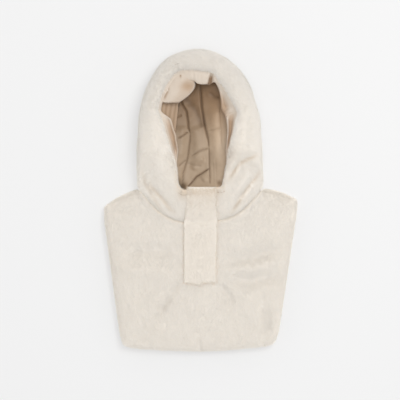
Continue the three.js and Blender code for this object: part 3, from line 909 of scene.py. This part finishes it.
def readMap(found, xs, ys, points):
    u = np.clip((points[:, 0] - xs[0]) / (xs[1] - xs[0]), 0, len(xs) - 1.001)
    v = np.clip((points[:, 1] - ys[0]) / (ys[1] - ys[0]), 0, len(ys) - 1.001)
    i, j = u.astype(int), v.astype(int)
    u, v = u - i, v - j
    low = mix(found[i, j], found[i + 1, j], u)
    high = mix(found[i, j + 1], found[i + 1, j + 1], u)
    return mix(low, high, v)


def layPlacket(piece, under):
    shape, step, sink = placketShape, placketShape["step"], placketShape["sink"]
    xs, ys = (np.arange(*shape["ground"][way]) for way in ("across", "along"))
    ground = heightMap(under, xs, ys)
    for turn in range(shape["ground"]["bridges"]):
        # bridges the dip at the neck seam
        padded = np.pad(ground, 1, mode="edge")
        ground = np.maximum(ground, (padded[1:-1, :-2] + 2 * ground + padded[1:-1, 2:]) / 4)
    points, normals = readPoints(piece), readNormals(piece)
    x, y, z = points.T
    share = rise(normals[:, 2], -0.75, 1.5)
    z[:] = readMap(ground, xs, ys, points) + shape["lift"] + share * shape["thick"]
    # the upper left sinks into the collar beyond the slanting crease
    crease = np.array(shape["crease"], float)
    reach, _ = alongPath(points, crease)
    way = crease[-1] - crease[0]
    beyond = np.where((x - crease[0, 0]) * way[1] - (y - crease[0, 1]) * way[0] > 0, reach, 0)
    z -= sink["by"] * smoothStep(beyond / sink["past"]) * fall(x, sink["from"], sink["fade"])
    z -= shape["creaseDepth"] * bell(reach, shape["creaseWidth"]) * share
    # the left of the hem hangs lower
    drop = step["by"] * rise(x, step["from"], step["to"] - step["from"])
    y -= np.where((y < step["below"]) & (x < step["to"]), drop * fall(y, step["below"], step["fade"]), 0)
    # the upper end is cut off flush with the fur edge
    y[:] = np.minimum(y, shape["upperEnd"])
    writePoints(piece, points)


placketCloth = buildPlushPanel("placket", "placket_cloth", placketShape, [], 10)
layPlacket(placketCloth, [hoodShell, frontBib])

seamAndShadeLook = {
    "placketWidth": 2,
    "neckWidth": 3,
    "neckShare": 0.25,
    # painted shade round the lower end of the face opening
    "chinWidth": 14,
    "chinReach": (34, 12),
    "chinShare": 0.7,
    # on the strip: its sides up to this place, and all along its upper end
    "placketBelow": (20, 6),
    "placketEnd": (0.2, 0.4),
    "placketSide": (0.55, 0.5),
}


def nearChin(angle, reach, fade):
    # 1 at the lower end of the face opening, 0 beyond the reach in degrees
    return smoothStep((reach - np.abs(angle - 270)) / fade)


def markSeamsAndShade():
    # where the pile is sewn down and the bare cloth shows, with painted shade in the seam gaps, round the
    # chin and on the strip's upper end
    look = seamAndShadeLook
    points = readPoints(frontBib)
    fromPlacket, _ = alongPath(points, placketShape["outline"])
    fromSeam, _ = alongPath(points, neckSeam())
    neck = look["neckShare"] * bell(fromSeam, look["neckWidth"])
    addAttribute(frontBib, "seam", np.maximum(bell(fromPlacket, look["placketWidth"]), neck))
    points = readPoints(hoodShell)
    fromPlacket, _ = alongPath(points, placketShape["outline"][-2:])
    angle, past = pastOpening(points)
    chin = look["chinShare"] * (bell(past, look["chinWidth"]) * nearChin(angle, *look["chinReach"]))
    addAttribute(hoodShell, "seam", np.maximum(bell(fromPlacket, look["placketWidth"]), chin))
    points, normals = readPoints(placketCloth), readNormals(placketCloth)
    sewn = np.maximum(fall(points[:, 1], *look["placketBelow"]), rise(normals[:, 1], *look["placketEnd"]))
    addAttribute(placketCloth, "seam", fall(normals[:, 2], *look["placketSide"]) * sewn)


markSeamsAndShade()
print("bibs and placket are shaped")

# Pile: blades that stand on the cloth

pileShape = {
    "length": 7.0,
    "lengthSpread": (0.7, 1.1),
    "width": 0.52,
    "widthSpread": (0.8, 1.2),
    "lean": 1.2,
    "leanSpread": 0.13,
    "perSquare": 1.5,
    "clump": 0.16,
    "stray": 0.24,
    "twist": 0.1,
    "rootDepth": 0.6,
    "lowest": 0.2,
    # shares of the length, and what a steep edge takes from it and from the lean
    "bareLength": 0.45,
    "coverLength": 0.55,
    "steepShort": 0.45,
    "steepStand": 0.55,
    "toneSpread": 0.12,
}
napShape = {
    # start and span: out from the fur edge, and in degrees from the chin
    "turned": (6, 26),
    "lip": (5, 7),
    "collarReach": (78, 48),
    # outwards at the sides of the placket, from its middle line
    "aside": (24, 8),
    "asideShare": 0.7,
    "freeEdge": 0.5,
}
# painted shade in the pile: tanner blades in the hood's folds, at the chin and up the placket
paintedShadeShape = {
    "foldWidth": 3.4,
    "most": 0.85,
    "chin": 0.75,
    "chinWidth": 16,
    "chinReach": (24, 12),
    "placket": 0.1,
    # share, start and span of each rise up the placket
    "placketRises": [(0.2, -40, 60), (0.3, 6, 12), (0.34, 22, 3)],
}


def bibNap(points):
    # straight down the bib
    return np.tile(np.array([0.0, -1.0, 0.0]), (len(points), 1))


def placketNap(points):
    # down the strip, a little outwards at its sides
    x = points[:, 0] + 1
    aside = rise(np.abs(x), *napShape["aside"]) * np.sign(x) * napShape["asideShare"]
    return np.stack([aside, np.full(len(points), -1.0), np.zeros(len(points))], axis=1)


def lipShare(points):
    # 1 on the fur edge of the face opening, 0 on the rest of the hood
    return 1 - rise(pastOpening(points)[1], *napShape["lip"])


def hoodNap(points):
    # outwards and down the sides, and turned round to lie in over the fur edge, but not at the collar
    angle, past = pastOpening(points)
    turn = np.pi * (1 - rise(past, *napShape["turned"])) * (1 - nearChin(angle, *napShape["collarReach"]))
    way = np.radians(angle) + turn
    return np.stack([np.cos(way), np.sin(way), np.zeros(len(points))], axis=1)


def freeEdge(points):
    # the free edges of the bibs and the placket, where the pile stands out sideways
    return np.full(len(points), napShape["freeEdge"])


def hoodPaintedShade(points):
    # painted shade: the pile is painted tanner in the folds and where it meets the lower end of the face
    # opening
    angle, past = pastOpening(points)
    shape = paintedShadeShape
    tan = shape["chin"] * bell(past, shape["chinWidth"]) * nearChin(angle, *shape["chinReach"])
    for each in hoodShape["folds"]:
        if each["tan"]:
            distance, share = alongPath(points, each["path"])
            ends = smoothStep(np.minimum(share, 1 - share) / each["fade"])
            tan += each["tan"] * ends * bell(distance, shape["foldWidth"])
    return np.minimum(tan, shape["most"])


def placketPaintedShade(points):
    # painted shade: tanner up the strip towards the chin, most at its sewn end
    rises = (share * rise(points[:, 1], *way) for share, *way in paintedShadeShape["placketRises"])
    return sum(rises, paintedShadeShape["placket"])


def noPaintedShade(points):
    return np.zeros(len(points))


def besidePlacket(points):
    # 0 where the placket hides the cloth
    x, y = points[:, 0], points[:, 1]
    across = rise(np.abs(x + 0.5), 27, 3)
    along = np.maximum(rise(y, 9, 4), fall(y, -160, 3))
    merged = smoothStep(-x / 10) * smoothStep((y + 26 + x * 0.4) / 12)
    return np.maximum(np.maximum(across, along), merged)


def acrossTo(ways, normal):
    # what of the ways lies in the cloth, as unit vectors
    return unit(ways - normal * (ways * normal).sum(axis=1)[:, None])


def growPile(base, name, look, seed, napOf, edgeOf, paintedShadeOf, keep=None):
    rng = np.random.default_rng(seed)
    mesh = base.data
    mesh.calc_loop_triangles()
    count = len(mesh.loop_triangles)
    corners = np.zeros(count * 3, np.int32)
    mesh.loop_triangles.foreach_get("vertices", corners)
    corners = corners.reshape(-1, 3)
    points, normals, cover = readPoints(base), readNormals(base), readCover(base)
    a, b, c = (points[corners[:, k]] for k in range(3))
    area = lengths(np.cross(b - a, c - a)) / 2
    weight = area * cover[corners].mean(axis=1)
    if keep is not None:
        weight = weight * keep((a + b + c) / 3)
    total = int(weight.sum() * look["perSquare"])
    # a random place on a random triangle for each blade
    chosen = np.searchsorted(np.cumsum(weight) / weight.sum(), rng.random(total))
    picked = corners[np.minimum(chosen, count - 1)]
    r1, r2 = np.sqrt(rng.random(total)), rng.random(total)
    shares = np.stack([1 - r1, r1 * (1 - r2), r1 * r2], axis=1)
    root = (points[picked] * shares[..., None]).sum(axis=1)
    normal = unit((normals[picked] * shares[..., None]).sum(axis=1))
    cloth = (cover[picked] * shares).sum(axis=1)
    clump = [swellOver(root, [(22, 61 + k, 1), (7, 65 + k, 0.7)]) for k in range(3)]
    nap = napOf(root) + look["clump"] * np.stack(clump, axis=1) + rng.normal(0, look["stray"], (total, 3))
    nap = acrossTo(nap, normal)
    # on an edge the blades stand out instead of lying down
    steep = smoothStep((0.75 - np.abs(normal[:, 2])) / 0.6) * edgeOf(root)
    lean = look["lean"] * (1 - look["steepStand"] * steep) + rng.normal(0, look["leanSpread"], total)
    way = normal * np.cos(lean)[:, None] + nap * np.sin(lean)[:, None]
    length = look["length"] * rng.uniform(*look["lengthSpread"], total)
    length = length * (look["bareLength"] + look["coverLength"] * cloth) * (1 - look["steepShort"] * steep)
    side = mix(np.cross(way, normal), np.cross(way, np.array([0, 0, 1])), steep[:, None])
    side = acrossTo(side + rng.normal(0, look["twist"], (total, 3)), way)
    half = (look["width"] / 2 * rng.uniform(*look["widthSpread"], total))[:, None] * side
    start = root - normal * look["rootDepth"]
    tip = root + way * length[:, None]
    for end in (start, tip):
        end[:, 2] = np.maximum(end[:, 2], look["lowest"])
    blades = np.stack([start + half, start - half, tip], axis=1)
    # the blade's face looks outwards
    facing = np.cross(blades[:, 1] - blades[:, 0], blades[:, 2] - blades[:, 0])
    outer = normal + np.array([0, 0, 1.5]) * steep[:, None]
    wrong = (facing * outer).sum(axis=1) < 0
    blades[wrong, :2] = blades[wrong, 1::-1]
    pile = bpy.data.meshes.new(name)
    faces = np.arange(total * 3).reshape(-1, 3)
    pile.from_pydata((blades * mm).reshape(-1, 3), [], faces, shade_flat=False)
    # U is the blade's tone, from tan to cream, random with the painted shade taken off, and V runs from root
    # to tip
    uv = pile.uv_layers.new(name="OFBake")
    tone = 1 - look["toneSpread"] * rng.random(total) - paintedShadeOf(root)
    mapped = np.zeros((total, 3, 2), np.float32)
    for k, shift in enumerate((0, 0.02, 0.01)):
        mapped[:, k, 0] = tone * 0.98 + shift
    mapped[:, 2, 1] = 1
    uv.data.foreach_set("uv", mapped.ravel())
    piece = bpy.data.objects.new(name, pile)
    bpy.context.scene.collection.objects.link(piece)
    piece.data.materials.append(pileMaterial)
    print(name, total, "blades")
    return piece


def growHoodPile(name, seed, half):
    keep = lambda points: half(points[:, 0]) * besidePlacket(points)
    return growPile(hoodShell, name, pileShape, seed, hoodNap, lipShare, hoodPaintedShade, keep)


hoodLeftPile = growHoodPile("hood_pile_left", 100, lambda x: x < -4)
hoodRightPile = growHoodPile("hood_pile_right", 200, lambda x: x >= -4)
frontPile = growPile(frontBib, "front_bib_pile", pileShape, 300, bibNap, freeEdge, noPaintedShade, besidePlacket)
# the front bib hides the upper face of the back bib
lowerFace = lambda points: (points[:, 2] < 11) * 0.6
backPile = growPile(backBib, "back_bib_pile", pileShape, 400, bibNap, freeEdge, noPaintedShade, lowerFace)
placketLook = {**pileShape, "length": 5.5}
placketPile = growPile(placketCloth, "placket_pile", placketLook, 500, placketNap, freeEdge, placketPaintedShade)

cutNeckWay(hoodShell, 0)

# Lining

liningShape = {
    "clear": 0.6,
    "thick": 1.0,
    "turns": 300,
    "wallSteps": 26,
    "floorSteps": 76,
    # the satin rises to the right of the opening, and painted light makes it paler there
    "rise": {
        "height": 24,
        "width": 56,
        "path": [(62, 236), (69, 190), (68, 140), (66, 105), (60, 74), (52, 46), (40, -20)],
        "paintedLightAcross": (0, 34),
        "paintedLightUp": (78, 50),
        "paintedLightTop": (215, 40),
    },
    "lift": 6,
    "liftBelow": (20, 16),
    "insideFade": (2, 14),
    "ripples": [(20, 31, 1.4), (8, 32, 0.6)],
    "shade": 0.57,
    "paintedLightOnRise": 0.38,
    "foldShade": 0.12,
    "gapShade": 0.55,
    "gapWidth": 3,
    "cornerShade": 0.4,
    "cornerWidth": 5,
    "folds": [
        fold(4.5, 2.2, [(-2, 231), (1, 186), (6, 153), (14, 120), (16, 104)]),
        fold(3, 1.8, [(16, 104), (16, 71), (18, 32)]),
        fold(4, 1.9, [(-42, 203), (-37, 189), (-29, 176), (-26, 156), (-25, 143), (-21, 132)]),
        fold(3, 1.8, [(-21, 132), (-26, 87), (-30, 71), (-35, 54), (-37, 28)]),
        fold(4.5, 2.2, [(-26, 26), (-9, 46), (4, 54), (16, 62)]),
        fold(2.4, 2.5, [(-19, 87), (-6, 95), (7, 100), (14, 102)]),
        fold(1.5, 3, [(-26, 74), (-14, 69), (1, 68)]),
        fold(2.6, 2, [(-46, 122), (-34, 128), (-26, 135)]),
        fold(2.2, 2, [(-44, 67), (-30, 79)]),
        fold(2, 2.2, [(-50, 163), (-38, 169)]),
        fold(2.2, 4, [(17, 214), (27, 205), (36, 202)]),
        fold(1.4, 3, [(14, 137), (40, 141)]),
        fold(1.3, 2, [(34, 205), (38, 176), (41, 140), (42, 99)]),
        fold(2.4, 8, [(-30, 203), (-8, 175), (4, 143)]),
        fold(-6, 12, [(-12, 150), (-6, 110), (-8, 70)]),
        fold(-6, 11, [(26, 190), (30, 130), (32, 60)]),
        fold(-5, 8, [(-36, 150), (-37, 110), (-40, 80)]),
        fold(-4, 7, [(-18, 60), (-4, 76), (8, 84)]),
        fold(-4, 7, [(2, 40), (12, 48)]),
        fold(-10, 14, [(-44, 22), (0, 21), (44, 24)]),
        fold(0.8, 1.4, [(24, 76), (26, 30)]),
        fold(0.8, 1.4, [(29, 84), (31, 36)]),
        fold(-10, 15, [(-56, 150), (-56, 110), (-50, 70), (-44, 40), (-42, 26)]),
    ],
    # painted shade: the satin turns warmer and darker towards the crown, from this place over this span
    "top": {"from": 84, "over": 130, "by": 0.72},
    "corners": [(-33, 28), (36, 34)],
    "gap": [(-45, 190), (-52, 169), (-52, 146)],
}


def facesOut(piece):
    # the inner face looks into the hollow
    middle = np.array([*hoodShape["middle"], 45])
    return ((middle - readPoints(piece)) * readNormals(piece)).sum() < 0


def liningShade(points):
    shape = liningShape
    x, y, ridge = points[:, 0], points[:, 1], shape["rise"]
    # painted light: paler to the right of the opening, where the wall shades the satin
    pale = rise(x, *ridge["paintedLightAcross"]) * rise(y, *ridge["paintedLightUp"]) * fall(y, *ridge["paintedLightTop"])
    shade = shape["shade"] + shape["paintedLightOnRise"] * pale
    for each in shape["folds"]:
        if each["depth"] > 0:
            distance, share = alongPath(points, each["path"])
            strength = shape["foldShade"] * each["depth"] * bell(distance, 0.7 * each["width"])
            shade -= strength * smoothStep(np.minimum(share, 1 - share) / 0.06 + 0.3)
    distance, _ = alongPath(points, shape["gap"])
    shade -= shape["gapShade"] * bell(distance, shape["gapWidth"])
    for corner in shape["corners"]:
        distance = lengths(points[:, :2] - np.array(corner))
        shade -= shape["cornerShade"] * bell(distance, shape["cornerWidth"])
    return np.clip(shade, 0, 1)


def buildLining():
    shape, ridge, top = liningShape, liningShape["rise"], liningShape["top"]
    inset = hoodShape["plush"] + shape["clear"] + shape["thick"]
    shares = 1 - np.arange(1, shape["floorSteps"] + 1) / shape["floorSteps"]
    lines = []
    for angle in roundAngles(shape["turns"]):
        wall = wallLine(angle, inset, shape["wallSteps"])
        lines.append(np.vstack([wall, floorLine(wall[-1], shares)]))
    piece, points, _, _ = newRound("hood_lining", shape["turns"], lines)
    z = points[:, 2]
    low = 1 - rise(z, *shape["liftBelow"])
    ripple = sum((softNoise(points, size, seed) + 1) * height for size, seed, height in shape["ripples"])
    inside = 1 - rise(pastOpening(points)[1], *shape["insideFade"])
    distance, _ = alongPath(points, ridge["path"])
    risen = ridge["height"] * bell(distance, ridge["width"]) * inside
    z += (shape["lift"] - foldDepth(points, shape["folds"]) + risen + ripple) * low
    z[:] = np.maximum(z, wall[-1, 1])
    writePoints(piece, points)
    turnFaces(piece, facesOut)
    points = readPoints(piece)
    addAttribute(piece, "shade", liningShade(points))
    # painted shade: warmer and darker towards the crown
    addAttribute(piece, "hollow", top["by"] * rise(points[:, 1], top["from"], top["over"]))
    applyModifier(piece, "SOLIDIFY", thickness=shape["thick"] * mm, offset=-1)
    return piece


lining = buildLining()
cutNeckWay(lining, 1)
lining.data.materials.append(liningMaterial)
shadeSmooth(lining)
print("lining is in")

# Facing: a satin band gathered round inside the fur edge, puffed out into a loose flap at the upper left

facingShape = {
    "cloth": 1.2,
    "turns": 480,
    "steps": 44,
    "valleys": (0.35, 0.65, 0.88),
    "firstDrop": 2.2,
    "shares": (0.12, 0.24, 0.38, 0.52, 0.66, 0.8, 0.9, 1),
    # out and down: of the edge hidden under the fur, and of the rolled free edge
    "hidden": [(9, 4), (3, 2.6)],
    "rolled": [(-0.5, 2), (0.6, 5)],
    # angle, radius of the free edge, how far the band lies below the lip at three places and at that edge
    "sections": [
        (0, 55.6, 16, 18, 8.5, 12),
        (12, 56, 16, 18, 8.5, 12),
        (20, 57, 14, 15, 9, 13),
        (30, 58.5, 8, 12, 15, 18),
        (42, 60, 12, 18, 18, 21),
        (52, 70, 10, 15, 16, 19),
        (59, 80, 7, 10, 12, 15),
        (66, 91, 4, 6, 8, 11),
        (72, 97.5, 3, 4, 5, 9),
        (75, 94, 6, 12, 16, 19),
        (76.4, 92, 16, 24, 28, 30),
        (78, 91, 14, 22, 26, 28),
        (79.6, 90.4, 3, 6, 9, 12),
        (86, 89, 3, 5, 7, 10),
        (91, 90, 3, 5, 7, 10),
        (98, 97, 4, 6, 9, 12),
        (110, 92, 10, 14, 17, 19),
        (125, 70, 14, 20, 22, 23),
        (129, 96, 4, 6, 7, 9),
        (147, 87, 4, 6, 7, 9),
        (153.4, 83, 4, 6, 7, 9),
        (155.2, 79, 4, 6, 6, 9),
        (159, 60, 6, 8, 8, 12),
        (164, 55, 10, 13, 10, 14),
        (180, 49, 14, 17, 12, 15),
        (193, 46.4, 15, 18, 12, 15),
        (210, 50, 15, 18, 11, 15),
        (224, 57.2, 13, 14, 9, 13),
        (236, 78, 6, 7, 7, 10),
        (244, 96, 4, 5, 6, 8),
        (256, 116.5, 4, 5, 6, 8),
        (276, 111, 4, 5, 6, 8),
        (290, 113, 4, 5, 6, 8),
        (304, 88.5, 4, 5, 6, 8),
        (318, 69, 8, 10, 8, 11),
        (331, 61.8, 14, 15, 11, 14),
        (345, 57, 16, 18, 9, 12),
    ],
    # how far the band is tucked under the fur, by angle
    "tuck": [(236, 0), (246, 6), (310, 6), (324, 0)],
    # angle and depth of each gather
    "gathers": [(88, 3), (92, 2.2), (96, 3), (131, 4), (137, 4), (142, 3.5), (36, 3), (27, 3)],
    "gatherShare": 0.35,
    "gatherWidth": 1.1,
    "gatherRows": (8, 10),
    # painted shade: the band turns warmer and darker the deeper it lies below the lip
    "hollowFrom": 9,
    "hollowOver": 9,
    "hollowShade": 0.35,
    "swells": [(14, 41, 0.7), (5, 42, 0.3)],
}
flapShape = {
    "across": 44,
    "along": 56,
    # from the top of the flap down: along the fur edge, and along the free edge
    "furEdge": [(-41, 249, 66), (-58, 237, 67), (-66, 218, 67), (-72, 203, 67), (-76, 189, 67)],
    "freeEdge": [
        (-11.5, 231, 59), (-10.5, 226, 58), (-12, 219, 57.5),
        (-18.5, 209.5, 57), (-28.5, 200.5, 57), (-43, 190.5, 58),
    ],
    "puff": 5,
    "tuck": 5,
    "hem": {"rows": (0.93, 0.07), "depth": 4.5, "turned": (0.975, 0.025), "out": 1.4},
    "lowerHem": {"rows": (0.955, 0.045), "depth": 5},
    "dent": {"place": (-25, 222), "depth": 4, "size": (16, 10)},
    "notch": {"place": (-40, 243), "size": (1.8, 4), "shade": 0.8},
    "mark": {"path": [(-62, 222), (-67, 209), (-73, 194)], "width": 2.2, "fade": 0.3, "shade": 0.7},
    "shade": 0.84,
    "swells": [(12, 51, 0.6), (5, 52, 0.25)],
}
# the gathered cloth behind the left strip: corners from the fur edge to the lining
gatherShape = {
    "steps": 24,
    "corners": [(-80, 200, 58), (-80, 160, 57), (-44, 196, 36), (-50, 134, 27)],
    "pleat": 0.7,
    "pleats": 4,
}


def facingDrop(angle, share):
    # how far the band lies below the lip, at a share of the way from the fur edge to its free edge
    knots = [0, *facingShape["valleys"], 1]
    drops = [roundTable(facingShape["sections"], column, angle) for column in (2, 3, 4, 5)]
    return np.interp(share, knots, [facingShape["firstDrop"], *drops])


def lipHeight(angle):
    collar = hoodAt(6, angle)
    edge = hoodAt(2, angle) + hoodShape["plush"] / 2
    return edge + mix(hoodShape["lipLift"], hoodShape["collarLift"], collar) - 1


def finishSatin(piece, points, shade, hollow):
    writePoints(piece, points)
    addAttribute(piece, "shade", shade)
    addAttribute(piece, "hollow", hollow)
    turnFaces(piece, facesDown)
    return piece


def buildBand():
    shape = facingShape
    lines, hollows = [], []
    for angle in roundAngles(shape["turns"]):
        tuck = np.interp(angle, *zip(*shape["tuck"]))
        opening, lip = readOpening(angle) + tuck, lipHeight(angle)
        free = roundTable(shape["sections"], 1, angle) + tuck
        inside = [(mix(opening + 1, free, t), lip - facingDrop(angle, t)) for t in shape["shares"]]
        hidden = [(opening + out, lip - down) for out, down in shape["hidden"]]
        rolled = [(inside[-1][0] + out, inside[-1][1] - down) for out, down in shape["rolled"]]
        line = curveThrough([*hidden, *inside, *rolled], shape["steps"])
        lines.append(line)
        hollows.append(np.clip((lip - line[:, 1] - shape["hollowFrom"]) / shape["hollowOver"], 0, 1))
    piece, points, column, row = newRound("opening_facing_band", shape["turns"], lines)
    angle, _ = readRound(points)
    for at, deep in shape["gathers"]:
        pinch = shape["gatherShare"] * deep * bell(angle - at, shape["gatherWidth"])
        points[:, 2] -= pinch * rise(row, *shape["gatherRows"])
    points[:, 2] += swellOver(points, shape["swells"])
    # painted shade in the valleys of the band
    hollow = np.array(hollows)[column, row]
    return finishSatin(piece, points, 1 - shape["hollowShade"] * hollow**2, hollow)


def buildFlap():
    shape = flapShape
    hem, lowerHem, dent, notch, mark = (shape[key] for key in ("hem", "lowerHem", "dent", "notch", "mark"))
    furEdge, freeEdge = (curveThrough(shape[key], shape["along"]) for key in ("furEdge", "freeEdge"))
    piece, column, row = newGrid("facing_flap", shape["across"], shape["along"])
    u, v = column / shape["across"], row / shape["along"]
    points = mix(furEdge[row], freeEdge[row], u[:, None])
    plan, z = points[:, :2], points[:, 2]
    # hidden behind the fur edge, full in the middle, rolled under at the free edge
    outwards = unit(plan - np.array(hoodShape["middle"]))
    plan += outwards * (shape["tuck"] * (1 - smoothStep(u / 0.2)))[:, None]
    z += shape["puff"] * np.sin(np.pi * u) ** 0.8 * np.sin(np.pi * mix(0.12, 0.88, v)) ** 0.5
    under = hem["depth"] * rise(u, *hem["rows"]) ** 2
    z -= under + lowerHem["depth"] * rise(v, *lowerHem["rows"]) ** 2 * smoothStep(u / 0.15)
    plan += outwards * (hem["out"] * rise(u, *hem["turned"]))[:, None]
    dented = spot(points, dent["place"], dent["size"])
    z -= dent["depth"] * dented
    z += swellOver(points, shape["swells"])
    # painted shade: darker at the notch and along the crease mark, warmer in the dent and towards the free
    # edge; painted highlight: the rolled free edge is left lighter
    notched = notch["shade"] * spot(points, notch["place"], notch["size"])
    away, share = alongPath(points, mark["path"])
    creased = bell(away, mark["width"]) * smoothStep(np.minimum(share, 1 - share) / mark["fade"])
    shade = np.clip(shape["shade"] - notched - mark["shade"] * creased, 0, 1)
    hollow = (0.75 * dented + 0.25 * rise(u, 0.35, 0.3)) * (1 - rise(u, 0.9, 0.05))
    return finishSatin(piece, points, shade, hollow)


def buildGather():
    shape = gatherShape
    piece, column, row = newGrid("facing_gather", shape["steps"], shape["steps"])
    u, v = (column / shape["steps"])[:, None], (row / shape["steps"])[:, None]
    upper, lower, upperIn, lowerIn = (np.array(corner, float) for corner in shape["corners"])
    points = mix(mix(upper, lower, v), mix(upperIn, lowerIn, v), u)
    wave = 2 * np.pi * shape["pleats"] * u[:, 0] + 3 * v[:, 0]
    points[:, 2] += shape["pleat"] * np.sin(wave)
    # painted shade: darker along the pleats, and warm all over where it lies deep behind the strip
    return finishSatin(piece, points, 0.8 + 0.2 * np.sin(wave + 1), np.ones(len(points)))


def buildFacing():
    band, flap, gather = buildBand(), buildFlap(), buildGather()
    for piece in (band, flap, gather):
        applyModifier(piece, "SOLIDIFY", thickness=facingShape["cloth"] * mm, offset=-1)
    selectOnly(band)
    flap.select_set(True)
    gather.select_set(True)
    bpy.ops.object.join()
    band.data.materials.append(facingMaterial)
    shadeSmooth(band)
    return band


facing = buildFacing()
print("facing is in")

# What each piece rides on, replaces and is made of

for cloth in (hoodShell, frontBib, backBib, placketCloth):
    cloth.data.materials.append(backingMaterial)
    shadeSmooth(cloth)

plushPieces = (
    hoodShell, hoodLeftPile, hoodRightPile, frontBib, frontPile, backBib, backPile, placketCloth, placketPile,
)
for piece in plushPieces:
    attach(piece, "root")
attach(lining, "root")
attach(facing, "root")

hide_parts("hood_side_left", "hood_side_right", "hood_centre_gusset")
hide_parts("lining_left", "lining_centre", "lining_right")
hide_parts("opening_facing")
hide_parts("front_bib")
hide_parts("back_bib")
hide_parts("placket")
